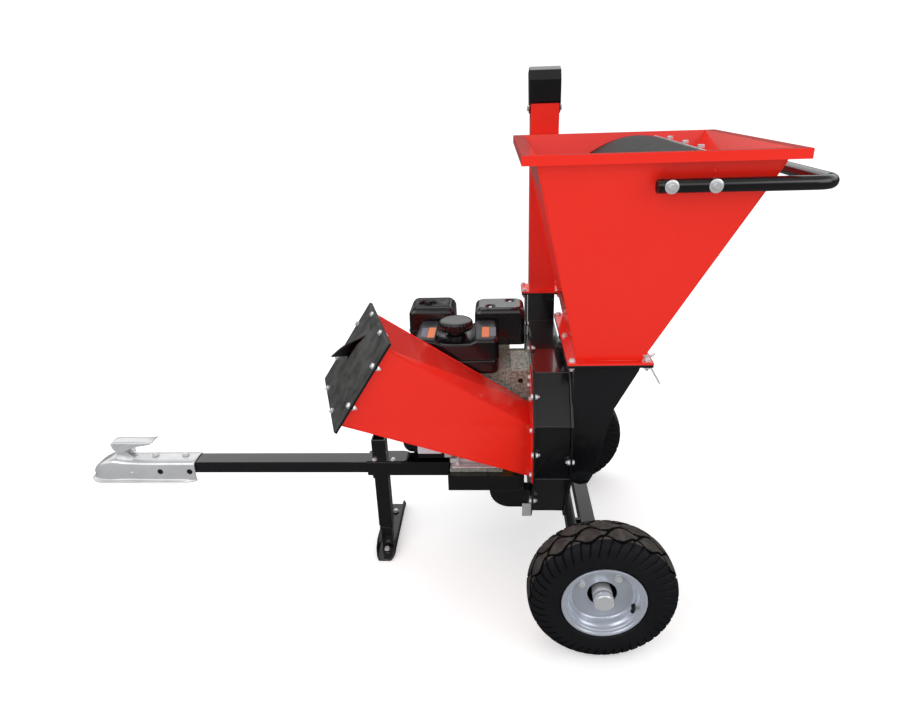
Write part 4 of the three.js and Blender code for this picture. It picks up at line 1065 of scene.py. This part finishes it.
    def flap(self) -> None:
        """The guard flap: a sheet whose height is a half sine less a straight fall, on a rod."""
        gx, gz = self.guard
        y = (self.wall_y(-1, gz) + 10, self.wall_y(1, gz) - 10)
        t = np.linspace(0, 1, 40)[:, None]
        v = np.linspace(0, 1, 40)[None, :]
        x = gx + 12 - 205 * t + 0 * v
        low, high = y[0] + 26 * t, y[1] - 26 * t
        wave = 3.0 * np.sin(5 * v * np.pi) * t**1.5
        z = gz + 12 + 38 * np.sin(np.pi * (0.12 + 0.72 * t)) - 42 * t + wave
        points = np.stack([x, low + (high - low) * v, z], axis=-1)
        made = Surface("guard_flap_sheet").grid(points, wrap_v=False)
        made.build("frame", [DARK_RUBBER], ("guard_flap",), "sheet_rubber", wall=4.5)
        rod = Surface("guard_flap_rod")
        ends = (self.wall_y(-1, gz) + 5, self.wall_y(1, gz) - 5)
        rod.grid(turned("y", (gx, gz + 14), [(0, ends[0]), (4, ends[0]), (4, ends[1]), (0, ends[1])], 16))
        rod.block((gx - 1, gx + 3), (ends[0] + 12, ends[1] - 12), (gz + 8, gz + 34), 1.5, 0.8)
        for y in (-168.0, -35.0, 120.0):
            rod.bolt((gx + 8, y, gz + 34.5), (0, 0, 1), 9)
        rod.build("frame", [ZINC])

    def build(self) -> None:
        """Makes the hopper group."""
        self.shell()
        self.handle()
        self.flap()


# ------------------------------------------------------------------ branch chute
@dataclass
class Chute:
    """Branch chute with its mouth frame, rubber flaps, screws and weld beads."""

    mouth: tuple = (-648.0, -268.0, 812.0)
    turn: float = 18.0
    lift: float = 35.0
    size: tuple = (296.0, 226.0)
    plate: tuple = (330.0, 264.0)
    root_y: tuple = (-185.0, -42.0)
    root_z: tuple = (412.0, 572.0)
    wall_x: float = -176.3

    def _axes(self) -> tuple:
        """Across, up and out directions at the mouth."""
        turn, lift = math.radians(self.turn), math.radians(self.lift)
        out = np.array([-math.cos(lift) * math.cos(turn), -math.cos(lift) * math.sin(turn), math.sin(lift)])
        across = np.array([-math.sin(turn), math.cos(turn), 0.0])
        up = np.cross(across, out)
        return across, up * math.copysign(1, up[2]), out

    def at(self, across: Array, up: Array, out: Array) -> Array:
        """A point by its place across, up and out from the mouth's middle."""
        a, u, o = self._axes()
        across, up, out = np.broadcast_arrays(across, up, out)
        return np.array(self.mouth) + across[..., None] * a + up[..., None] * u + out[..., None] * o

    def flaps(self) -> None:
        """The rubber sheet: flat round its edge, split down the middle, one corner curling outwards."""
        half_w, half_h = self.plate[0] / 2 - 1, self.plate[1] / 2 - 1
        made = Surface("chute_flaps")
        base = 6.5

        def sheet(low: tuple, high: tuple, rise: object, count: int = 36) -> None:
            """One flat-lying part between two corners, raised by rise(across, up)."""
            a = np.linspace(low[0], high[0], count)[:, None]
            u = np.linspace(low[1], high[1], count)[None, :]
            a, u = np.broadcast_arrays(a, u)
            made.grid(self.at(a, u, base + rise(a, u)), wrap_v=False)

        def calm(a: Array, u: Array) -> Array:
            """Slow ripples that fade at the screwed edge."""
            edge = np.clip((half_w - np.abs(a)) / 60, 0, 1) * np.clip((half_h - np.abs(u)) / 50, 0, 1)
            return edge * (3.0 * np.sin(a / 31.0 + u / 47.0) + 2.0 * np.cos(u / 29.0))

        def swell(a: Array, u: Array) -> Array:
            """The near half bellies out towards its free edge."""
            edge = np.clip((a + half_w - 25) / 130, 0, 1) ** 1.5 * np.clip((half_h - 18 - np.abs(u)) / 70,
                0, 1)
            return calm(a, u) * 0.4 + 16 * edge

        def curl(a: Array, u: Array) -> Array:
            """The corner lifts by 62 * (side * drop) ** 0.95, with ripples that grow to its free side."""
            side = np.clip((78 - a) / 74, 0, 1)
            drop = np.clip((98 - u) / 110, 0, 1)
            return 62 * (side * drop) ** 0.95 + 5 * np.sin(u / 22.0) * side

        sheet((-half_w, -half_h), (2.0, half_h), swell, 44)
        sheet((80.0, -half_h), (half_w, half_h), lambda a, u: calm(a, u) * 0.2, 30)
        sheet((4.0, 99.0), (80.0, half_h), lambda a, u: 0.0 * a, 14)
        sheet((4.0, -half_h), (80.0, -14.0), lambda a, u: calm(a, u) * 0.3, 30)
        sheet((4.0, -12.0), (80.0, 99.0), curl, 40)
        made.build("frame", [SHEET_RUBBER], ("flap_far", "flap_near"), "sheet_rubber", wall=4.0, smooth=60)

    def screws(self) -> None:
        """Two screws along each side of the mouth plate, with nuts behind, and root flange bolts."""
        made = Surface("chute_screws")
        out = self._axes()[2]
        w, h = self.plate[0] / 2 - 9, self.plate[1] / 2 - 10
        spots = [(-w, 0.5 * h), (-w, -0.45 * h), (w, 0.5 * h), (w, -0.45 * h), (-0.45 * w, h),
            (0.5 * w, h), (-0.4 * w, -h), (0.5 * w, -h)]
        for a, u in spots:
            made.bolt(self.at(a, u, 8.6), out, 7.5, nut=9.5)
        y, z = self.root_y, self.root_z
        for by, bz in ((y[0] - 12, z[0] + 8), (y[0] - 12, z[1] - 4), (y[1] + 10, z[1] + 60),
                (y[1] + 10, z[0] + 40), (y[0] + 60, z[1] + 60), (y[1] - 30, z[1] + 105),
                (y[1] - 20, z[0] - 12), (y[0] + 40, z[0] - 16)):
            made.bolt((self.wall_x - 3.1, by, bz), (-1, 0, 0), 8)
        made.build("frame", [ZINC], slot="zinc")

    def beads(self) -> None:
        """Weld beads down the four corners and round the root."""
        made = Surface("chute_welds")
        w, h = self.size[0] / 2, self.size[1] / 2
        y, z = self.root_y, self.root_z
        root = [(self.wall_x - 3, y[0] - 3, z[0] - 3), (self.wall_x - 3, y[1] + 3, z[0] - 3),
            (self.wall_x - 3, y[1] + 3, z[1] + 3), (self.wall_x - 3, y[0] - 3, z[1] + 3)]
        tip = [self.at(-w, -h, -2.0), self.at(w, -h, -2.0), self.at(w, h, -2.0), self.at(-w, h, -2.0)]
        for a, b in zip(root, tip):
            made.weld(a, b, 1.5, 7.0)
        for a, b in zip(root, root[1:] + root[:1]):
            made.weld(a, b, 2.4, 6.0)
        made.build("frame", [RED])

    def build(self) -> None:
        """Makes the chute group."""
        dress("branch_chute", RED, 1.0)
        dress("chute_frame", BLACK, 0.6)
        self.flaps()
        self.screws()
        self.beads()


# ------------------------------------------------------------------ drawbar, coupler and stand
@dataclass
class Drawbar:
    """Frame beam, tow bar, ball coupler with its latch, and the stand leg with its foot."""

    tip: float = -1658.0
    back: float = -1280.0
    base: float = 288.0
    top: float = 360.3
    leg_x: float = -664.0

    def bars(self) -> None:
        """Dresses the square tubes and adds the plate bolts and weld beads."""
        for node in ("frame_beam", "tow_bar", "cross_bar", "axle", "engine_bed", "bed_gusset_near",
                "bed_gusset_far", "stand_leg"):
            dress(node, BLACK, 1.6)
        made = Surface("drawbar_bolts")
        for x, y in ((-679, -25), (-618, -25)):
            made.bolt((x, y, 362.2), (0, 0, 1), 8)
        made.build("frame", [ZINC], slot="zinc")
        welds = Surface("frame_welds")
        for y in (-32.4, 32.4):
            welds.weld((-705, y, 356), (-592, y, 356), 1.8)
        welds.weld((-434, -30, 357), (-434, 30, 357), 2.2)
        welds.build("frame", [BLACK])

    def coupler(self) -> None:
        """The stamped coupler: a hat section lofted along its length, its nose closing elliptically.

        At length x the brim's half width, the wall's half width and the top height follow
        smooth curves; the section's corners are rounded by corner cutting.
        """
        run = np.concatenate([np.array([0.0, 0.6, 1.6, 3.2, 5.6, 9, 13, 18]), np.linspace(24, 130, 22),
            np.linspace(140, self.back - self.tip, 10)])
        nose = np.clip(run / 66.0, 0, 1)
        brim = 52.0 * np.sqrt(1 - (1 - nose) ** 2) + 0.01
        inner = np.clip((run - 9.0) / 78.0, 0, 1)
        wall = 40.0 * np.sqrt(1 - (1 - inner) ** 2.2) + 0.005
        crown = self.base + 5 + (self.top - self.base - 5) * np.sqrt(1 - (1 - np.clip((run - 8.5) / 92, 0,
            1)) ** 2.4)
        crown += 8 * np.exp(-(((run - 96) / 34) ** 2))
        waist = 1 - 0.06 * np.exp(-(((run - 150) / 40) ** 2))
        wall = wall * waist
        taper = 340
        lip = np.where(run > taper, brim - (run - taper) * 0.35, brim)
        low = np.full_like(run, self.base)
        tall = crown - low
        half = np.stack([np.stack([lip, low], -1), np.stack([lip, low + 4], -1),
            np.stack([lip - 2.5, low + 6], -1), np.stack([np.minimum(wall + 4, lip - 3), low + 7], -1),
            np.stack([wall + 0.5, low + 11], -1), np.stack([wall, low + 0.45 * tall + 6], -1),
            np.stack([wall * 0.985, low + 0.72 * tall + 2], -1),
            np.stack([wall * 0.93, crown - 0.10 * tall], -1),
            np.stack([wall * 0.78, crown - 0.012 * tall], -1), np.stack([wall * 0.4, crown + 0.8], -1)],
            axis=1)
        half[:, :, 1] = np.maximum(np.minimum(half[:, :, 1], np.maximum(crown[:, None],
            low[:, None] + 4)), low[:, None])
        other = half[:, ::-1].copy()
        other[..., 0] *= -1
        ring = np.concatenate([half, other], axis=1)
        x = np.broadcast_to((self.tip + run)[:, None], ring.shape[:2])
        points = np.stack([x, ring[..., 0], ring[..., 1]], axis=-1)
        made = Surface("coupler_shell")
        made.grid(points, wrap_v=False)
        piece = made.build("frame", [ZINC], ("coupler",), "zinc", smooth=50)
        sheet = piece.modifiers.new("sheet", "SOLIDIFY")
        sheet.thickness = 3.5 * MM
        sheet.offset = -1
        fine = piece.modifiers.new("smooth", "SUBSURF")
        fine.levels = fine.render_levels = 1
        extra = Surface("coupler_hardware")
        for px in (-1432.0, -1328.0):
            extra.bolt((px, 8, self.top + 1.4), (0, 0, 1), 11)
        # Dark discs on the coupler's sides, painted as the shade inside its pin holes.
        hole_shade_disc = np.array([(0, 41.2), (8.4, 41.2), (9.4, 40.8), (9.4, 37), (0, 37)])
        for px in (-1400.0, -1300.0):
            for side in (-1, 1):
                extra.grid(turned("y", (px, 327), hole_shade_disc * (1, side), 22), tone=1)
        for side in (-1, 1):
            extra.bolt((-1498, side * 38.6, 321), (0, side, 0), 6)
        saddle = [(-1556, 368), (-1496, 356), (-1494, 360), (-1508, 372), (-1520, 388), (-1524, 400),
            (-1530, 404), (-1538, 404), (-1542, 396), (-1554, 378)]
        for y in (-14.0, 10.0):
            extra.prism("y", saddle, y, y + 4)
        extra.build("frame", [ZINC, HOLE_SHADE], bevel=0.6)

    def latch(self) -> None:
        """The latch lever: two side cheeks, a folded top plate, a cross pin, rivets and a spring."""
        x, z = -1532.0, 400.0
        cheek = [(x - 26, z + 24), (x - 27, z + 12), (x - 22, z - 2), (x - 10, z - 9), (x + 6, z - 10),
            (x + 22, z - 2), (x + 60, z + 11), (x + 106, z + 19), (x + 113, z + 25), (x + 60, z + 24),
            (x + 20, z + 25)]
        made = Surface("coupler_lever")
        for y in (-22.0, 19.0):
            made.prism("y", cheek, y, y + 3)
        spine = chaikin(np.array([(x - 29, 0, z + 22), (x - 24, 0, z + 26.5), (x + 30, 0, z + 26.5),
            (x + 84, 0, z + 24), (x + 116, 0, z + 30)]), 2)
        width = np.interp(spine[:, 0], [x - 29, x + 60, x + 84, x + 116], [22.5, 22.5, 22.5, 20.5])
        across = np.linspace(-1, 1, 9)
        rows = np.stack([np.broadcast_to(spine[:, :1], (len(spine), 9)), width[:, None] * across[None,
            :], spine[:, 2:3] - 3.0 * np.abs(across[None, :]) ** 6], axis=-1)
        thick = np.array([0, 0, 3.0])
        made.grid(np.concatenate([rows, (rows - thick)[:, ::-1]], axis=1))
        rivet = np.array([(0, 24.6), (3, 24.4), (5, 23.4), (5.4, 22), (0, 21)])
        for px, pz in ((x - 4, z + 20), (x + 34, z + 16)):
            for side in (-1, 1):
                made.grid(turned("y", (px, pz), rivet * (1, side), 16))
        made.grid(turned("y", (x, z), [(0, -17), (5, -17), (5, 17), (0, 17)], 18))
        coil = np.linspace(0, 1, 120)
        angle = 2 * np.pi * 5 * coil
        wire, ring = 1.4, disc(1, 6)[None]
        spring = np.stack([x + 30 + 8 * np.cos(angle), 8 * np.sin(angle), z - 22 + 34 * coil], axis=-1)
        outward = wire * np.stack([np.cos(angle), np.sin(angle), 0 * angle], -1)[:, None, :]
        made.capped(spring[:, None, :] + outward * ring[..., :1] + np.array([0, 0, wire]) * ring[..., 1:])
        made.build("latch", [ZINC], ("coupler_latch",), "zinc", bevel=0.5)

    def stand(self) -> None:
        """The foot: a trough of U section along Y with a rounded tongue end, and its bolts."""
        x, half = self.leg_x, 31.0
        run = np.linspace(0, 1, 40)
        y = -86 + 312 * run
        rise = 42 * np.clip(np.minimum((y + 86) / 60, (226 - y) / 30), 0.10, 1) ** 0.8
        width = half * np.clip(1 - np.clip((-46 - y) / 44, 0, 1) ** 2.2 * 0.45, 0.1, 1)
        outer = [(-1.0, 1.0), (-1.0, 0.12), (-0.86, 0.0), (0.86, 0.0), (1.0, 0.12), (1.0, 1.0)]
        shape = spaced(chaikin(np.array(outer), 2), 28)
        ring = np.stack([x + width[:, None] * shape[None, :, 0], np.broadcast_to(y[:, None], (40, 28)),
            2.2 + rise[:, None] * shape[None, :, 1]], axis=-1)
        made = Surface("stand_shoe").grid(ring, wrap_v=False)
        made.build("leg", [BLACK], ("stand_foot",), "black_paint", wall=4.0)
        extra = Surface("stand_hardware")
        extra.bolt((x, -34, 7), (0, 0, 1), 10)
        extra.bolt((x, 178, 7), (0, 0, 1), 10)
        collar = swept(np.array([(x, 0, 80.0), (x, 0, 84.0), (x, 0, 88.0)]), rounded_rect((-22, 22),
            (-22, 22), 4), (0, 1, 0))
        extra.capped(collar, tone=1)
        extra.build("leg", [ZINC, BLACK], bevel=0.5)
        dress("leg_clamp", ZINC, 0.5, 50)

    def build(self) -> None:
        """Makes the drawbar group."""
        self.bars()
        self.coupler()
        self.latch()
        self.stand()


# ------------------------------------------------------------------ engine
@dataclass
class Engine:
    """The engine: castings, shrouds, tank, air cleaner, muffler guard and controls."""

    crank: tuple = (45.0, 465.0)
    base: float = 357.0
    tank_x: tuple = (-526.0, -268.0)
    tank_y: tuple = (-55.0, 124.0)
    tank_z: tuple = (677.3, 791.0)
    cap: tuple = (-400.0, 24.0)
    deck: float = 700.0

    def tank(self) -> None:
        """Fuel tank of two halves meeting in a seam flange, raised shoulders beside a low middle."""
        x, y, z = self.tank_x, self.tank_y, self.tank_z
        mid, lip, crown = z[0] + 50, 3, 15
        made = Surface("fuel_tank_halves")
        made.block((x[0] + lip, x[1] - lip), (y[0] + lip, y[1] - lip), (z[0], mid), 24, 12)
        made.block(x, y, (mid - 2.4, mid + 2.4), 27, 1.6)
        turn = np.linspace(0, np.pi / 2, 7)
        inward = np.concatenate([[0.0], 14 * (1 - np.cos(turn)) + lip])
        heights = [mid + 2, *(z[1] - crown + crown * math.sin(angle) for angle in turn)]
        rows = [(i, high, max(25 - 0.6 * i, 8)) for i, high in zip(inward, heights)]
        top = filled(stepped(x, y, rows, 160), 34)
        dip = np.exp(-(((top[..., 0] - self.cap[0]) / 54) ** 6))
        level = np.clip((top[..., 2] - mid) / (z[1] - mid), 0, 1) ** 3
        top[..., 2] -= crown * dip * level
        made.grid(top)
        neck = [(34, z[1] - 22), (33, z[1] - 8), (27, z[1] - 4), (26, z[1] + 8), (0, z[1] + 8)]
        made.grid(turned("z", self.cap, neck, 48))
        made.build("frame", [PLASTIC], ("fuel_tank",), "engine_plastic", smooth=45)
        # Thin skins on the shoulder tops in the lighter plastic: painted sheen from above.
        shoulder_sheen = Surface("tank_shoulder_sheen")
        for low, high in ((x[0] + 12, self.cap[0] - 58), (self.cap[0] + 58, x[1] - 12)):
            shoulder_sheen.block((low, high), (y[0] + 6, y[1] - 8), (z[1] - 20, z[1] + 0.6), 12, 5)
        shoulder_sheen.build("frame", [PAINTED_TOP_SHEEN])

    def fuel_cap(self) -> None:
        """The cap: its skirt's radius loses 1.8 * (1 - clip(1.6 |cos 14 t| - 0.6)) for finger flutes."""
        low = self.tank_z[1] + 8.3
        rows = np.array([(0, low), (42, low), (50, low + 1), (52, low + 4), (52, low + 20),
            (50, low + 25), (45, low + 27.6), (27, low + 28), (0, low + 28)])
        rows = np.vstack([rows[:1], chaikin(rows[1:-1], 1), rows[-1:]])
        depth = 1.8
        flute = depth * np.clip(np.abs(np.cos(14 * full_turn(168))) * 1.6 - 0.6, 0, 1)
        shape = np.clip((rows[:, 0] - 45) / 5, 0, 1)[:, None] * (flute[None, :] - depth)
        made = Surface("fuel_cap_fluted")
        made.grid(lobed("z", self.cap, rows[:, :1] + shape, rows[:, 1:]))
        lug = [(-7, -36), (7, -36), (7, 36), (-7, 36)]
        made.prism("z", np.array(lug) + np.array(self.cap), low + 26, low + 27.9)
        made.build("cap", [PLASTIC], ("fuel_cap",), "engine_plastic", smooth=40)

    def labels(self) -> None:
        """Plain text-free label patches laid on the tank shoulders and the block."""
        made = Surface("plain_labels")
        top = self.tank_z[1] + 0.7
        for cx, cy, tone, w, h in ((-474, 10, 0, 11, 42), (-496, 12, 1, 9, 38), (-310, 10, 0, 11, 42),
                (-288, 12, 1, 9, 38)):
            made.prism("z", rounded_rect((cx - w, cx + w), (cy - h, cy + h), 2), top, top + 0.4, tone)
        made.prism("y", rounded_rect((-530, -455), (409, 450), 3), -62.9, -62.2, 3)
        made.prism("y", rounded_rect((-281, -229), (364, 392), 4), -61.4, -60.6, 2)
        made.build("frame", [ORANGE, GREY_LABEL, AMBER, PALE_LABEL])

    def cleaner(self) -> None:
        """Air cleaner box with a chamfered lid, a round recess and its wing knob."""
        x, y, z = (-562.0, -408.0), (130.0, 262.0), (self.deck + 0.3, 828.0)
        made = Surface("air_cleaner_box")
        made.block((x[0] + 3, x[1] - 3), (y[0] + 3, y[1] - 3), (z[0], z[0] + 46), 14, 5)
        made.block(x, y, (z[0] + 44, z[0] + 52), 16, 2)
        rings = stepped(x, y, [(2, z[0] + 50, 15), (3, z[1] - 22, 15), (7, z[1] - 12, 14),
            (15, z[1] - 2, 12), (19, z[1], 10)], 96)
        knob = np.array([-500.0, 186.0])
        start = np.arctan2(rings[-1, :, 1] - knob[1], rings[-1, :, 0] - knob[0])

        def round_knob(radius: float, high: float) -> Array:
            """A circle about the knob whose points face those of the lid's outline."""
            return place("z", high, knob[0] + radius * np.cos(start), knob[1] + radius * np.sin(start))

        well = [(30, 0), (29, -1.5), (28, -8), (0, -8)]
        inner = np.stack([round_knob(radius, z[1] + drop) for radius, drop in well])
        made.grid(np.concatenate([rings, inner]))
        made.build("frame", [PLASTIC], ("air_cleaner",), "engine_plastic", smooth=30)
        # A thin skin over the lid's top in the lighter plastic: painted sheen from above.
        lid_sheen = Surface("air_cleaner_lid_sheen")
        lift = 0.25
        outline = rings[-1].copy()
        outline[:, 2] += lift
        lid_sheen.grid(np.stack([outline, round_knob(30.5, z[1] + lift)]))
        lid_sheen.build("frame", [PAINTED_TOP_SHEEN], wall=0.4)
        wing = Surface("cleaner_knob_wing")
        low = z[1] - 8.4
        rows = np.array([(0, low), (19, low), (19.5, low + 2), (12, low + 4), (11, low + 12),
            (9, low + 15), (0, low + 15.5)])
        lobes = 1 + 0.12 * np.cos(6 * full_turn(72))[None, :] * (rows[:, 1:] > low + 3)
        wing.grid(lobed("z", knob, rows[:, :1] * lobes, rows[:, 1:]))
        wing.build("knob", [DARK_RUBBER], ("cleaner_knob",), "engine_plastic", bevel=0.4)

    def muffler(self) -> None:
        """Muffler can and its pressed guard with two screw wells and a row of louvres, drawn as thin dark
        patches of painted shade.
        """
        dress("muffler", STEEL, 1.5)
        x, y, z = (-346.0, -186.0), (130.0, 250.0), (self.deck + 0.3, 824.0)
        made = Surface("muffler_guard_pressing")
        top = filled(stepped(x, y, [(0, z[0], 14), (0, z[1] - 24, 14), (1.5, z[1] - 15, 15),
            (6, z[1] - 6, 16), (14, z[1], 16)], 120), 44)
        wells = ((-296.0, 160.0), (-232.0, 214.0))
        for hx, hy in wells:
            away = np.hypot(top[..., 0] - hx, top[..., 1] - hy)
            top[..., 2] -= np.where(top[..., 2] > z[1] - 3, 9 * np.clip((17 - away) / 6, 0, 1), 0)
        made.grid(top)
        made.build("frame", [BLACK], ("muffler_guard",), "black_paint", smooth=45)
        extra = Surface("muffler_guard_details")
        for hx, hy in wells:
            extra.bolt((hx, hy, z[1] - 8.8), (0, 0, 1), 7, tone=0)
        # Louvre openings: thin dark patches painted as the shade inside them.
        for k in range(11):
            low = x[0] + 18 + k * 11.6
            extra.prism("y", rounded_rect((low, low + 5), (z[1] - 32, z[1] - 20), 2), y[0] - 0.5,
                y[0] + 0.2, 1)
        for k in range(8):
            low = y[0] + 14 + k * 12.0
            for face in (x[0], x[1]):
                extra.prism("x", rounded_rect((low, low + 5), (z[1] - 60, z[1] - 26), 2), face - 0.4,
                    face + 0.4, 1)
        extra.build("frame", [ZINC, HOLE_SHADE])

    def castings(self) -> None:
        """Adapter, crankcase and cylinder with ribs, fins and bosses, their holes drawn as dark discs of
        painted shade.
        """
        dress("engine_adapter", CAST, 2.0)
        dress("crankcase", CAST, 2.0)
        dress("cylinder_block", CAST, 2.0)
        cy = self.crank[0]
        made = Surface("engine_castings")
        for z in (self.base + 70, self.base + 110, self.base + 150):
            made.block((-420, -246), (cy - 94, cy - 86), (z, z + 6), 2, 1.5)
        made.block((-430, -290), (-60, -44), (self.base + 12, self.base + 30), 6, 4, tone=1)
        made.block((-424, -276), (-84, -60), (self.base + 1, self.base + 16), 6, 4, tone=1)
        for k in range(9):
            z = self.base + 212 + k * 11.5
            made.block((-440, -250), (cy + 172, cy + 205), (z, z + 3.4), 1.5, 1.2)
        for y, z in ((-2, 416), (102, 430), (146, 560), (146, 660), (-2, 660), (62, 690)):
            made.grid(turned("x", (y, z), [(0, -237), (15, -237), (15, -234.0), (0, -234)], 24))
        made.build("frame", [CAST, MACHINED], bevel=0.6)
        extra = Surface("engine_hardware")
        for x in (-403.0, -296.0):
            stud = [(0, self.base + 12), (5, self.base + 12), (5, self.base + 40), (0, self.base + 41)]
            extra.grid(turned("z", (x, -66), stud, 14))
            extra.bolt((x, -66, self.base + 16), (0, 0, 1), 9)
            extra.bolt((x, 140, self.base + 12.2), (0, 0, 1), 9)
        for z in (422.0, 500.0, 545.0):
            extra.bolt((-246, -45.4, z), (0, -1, 0), 7)
            extra.bolt((-420, -45.4, z), (0, -1, 0), 7)
        # Dark discs painted as the shade inside the holes on the bosses and the block's side.
        for y, z in ((-2, 416), (-2, 560), (-2, 660)):
            extra.grid(turned("x", (y, z), [(0, -238.2), (9, -238.2), (9, -236), (0, -236)], 20), tone=1)
        for z in (470.0, 560.0, 640.0):
            extra.grid(turned("y", (-205, z), [(0, -16.6), (8, -16.6), (8, -15.6), (0, -15.6)], 20), tone=1)
        extra.build("frame", [ZINC, HOLE_SHADE], bevel=0.4)

    def recoil(self) -> None:
        """Fan shroud, recoil cover with radial slots drawn as dark strips of painted shade, and the starter
        grip.
        """
        dress("fan_shroud", PLASTIC, 3.0)
        made = Surface("recoil_housing")
        at = -548.3
        rows = chaikin(np.array([(98, at), (98, at - 14), (94, at - 22), (86, at - 30), (64, at - 38),
            (44, at - 40), (40, at - 36), (16, at - 36)]), 2)
        rows = np.vstack([[(0, at)], rows, [(0, at - 36)]])
        made.grid(turned("x", self.crank, rows, 96))
        made.build("frame", [PLASTIC], ("recoil_cover",), "engine_plastic", smooth=35)
        # The radial slots are thin dark strips painted as the shade inside the openings.
        slot_shades = Surface("recoil_slot_shades")
        for k in range(20):
            turn = 2 * math.pi * k / 20
            side, up = np.array([0, math.cos(turn), math.sin(turn)]), np.array([0, -math.sin(turn),
                math.cos(turn)])
            run = np.linspace(0, 1, 9)[:, None]
            middle = np.array([0, *self.crank]) + (54 + 36 * run) * side
            depth = np.interp(54 + 36 * run, [44, 64, 86, 94], [at - 40.4, at - 38.4, at - 30.6, at - 23])
            middle[:, 0] = depth[:, 0]
            wide = 2.6 + 1.8 * run
            left, right = middle - wide * up, middle + wide * up
            slot_shades.capped(np.stack([left, right, right + [2.0, 0, 0], left + [2.0, 0, 0]], axis=1))
        for k in range(3):
            turn = 2 * math.pi * (k + 0.25) / 3
            slot_shades.bolt((at - 12, self.crank[0] + 92 * math.cos(turn),
                self.crank[1] + 92 * math.sin(turn)), (-1, 0, 0), 6, tone=1)
        slot_shades.build("frame", [HOLE_SHADE, ZINC])
        grip = Surface("starter_grip")
        rows = chaikin(np.array([(0, 4), (7, 4), (11, 10), (9, 24), (9, 60), (12, 76), (8, 82), (0, 82)],
            float), 2)
        points = turned("y", (-560.5, 604), rows, 32)
        points[..., 2] = 604 + (points[..., 2] - 604) * 0.95
        grip.grid(points)
        grip.build("starter", [DARK_RUBBER], ("recoil_grip",), "engine_plastic")

    def controls(self) -> None:
        """Throttle lever, switch, dipstick and the drilled bracket."""
        dress("control_bracket", ZINC, 0.8)
        dress("throttle_lever", PLASTIC, 1.2)
        dress("engine_switch", PLASTIC, 0.8)
        wall = self.crank[0] - 90.3
        rows = np.array([(0, wall), (15, wall), (16, wall - 2), (16, wall - 9), (13, wall - 12),
            (12, wall - 14), (0, wall - 14)])
        flute = 1 - 0.07 * (np.cos(12 * full_turn(96))[None, :] > 0) * (rows[:, :1] > 15.5)
        made = Surface("dipstick_knob")
        made.grid(lobed("y", (-300, 400), rows[:, :1] * flute, rows[:, 1:]))
        made.build("dipstick", [DARK_RUBBER], ("oil_dipstick",), "engine_plastic", smooth=40)
        panel = Surface("control_panel")
        panel.block((-530, -432), (-62, -46), (392, 456), 4, 3)
        panel.block((-446, -424), (-66, -60), (396, 440), 4, 2, tone=1)
        lever = swept(chaikin(np.array([(-404, -62, 452), (-396, -66, 436), (-382, -68, 424),
            (-370, -70, 404)], float), 2), disc(4.5, 12), (0, 1, 0))
        panel.capped(lever, tone=0)
        panel.build("frame", [PLASTIC, ZINC], bevel=0.5)

    def build(self) -> None:
        """Makes the engine group."""
        self.castings()
        self.recoil()
        self.tank()
        self.fuel_cap()
        self.labels()
        self.cleaner()
        self.muffler()
        self.controls()


# ------------------------------------------------------------------ the whole machine
@dataclass
class Chipper:
    """All sub-assemblies in building order."""

    groups: list = field(default_factory=lambda: [Wheel("near", -1), Wheel("far", 1), Housing(), Hopper(),
        Chute(), Drawbar(), Engine()])

    def build(self) -> None:
        """Builds each group and dresses the rotor inside."""
        for group in self.groups:
            group.build()
        for node in ("rotor", "knife_1", "knife_2"):
            dress(node, STEEL, 0.6)


def main() -> None:
    """Stage first, then the machine."""
    logging.basicConfig(level=logging.INFO, format="%(message)s")
    Studio().build()
    Chipper().build()
    bpy.context.view_layer.update()


if __name__ == "__main__":
    main()
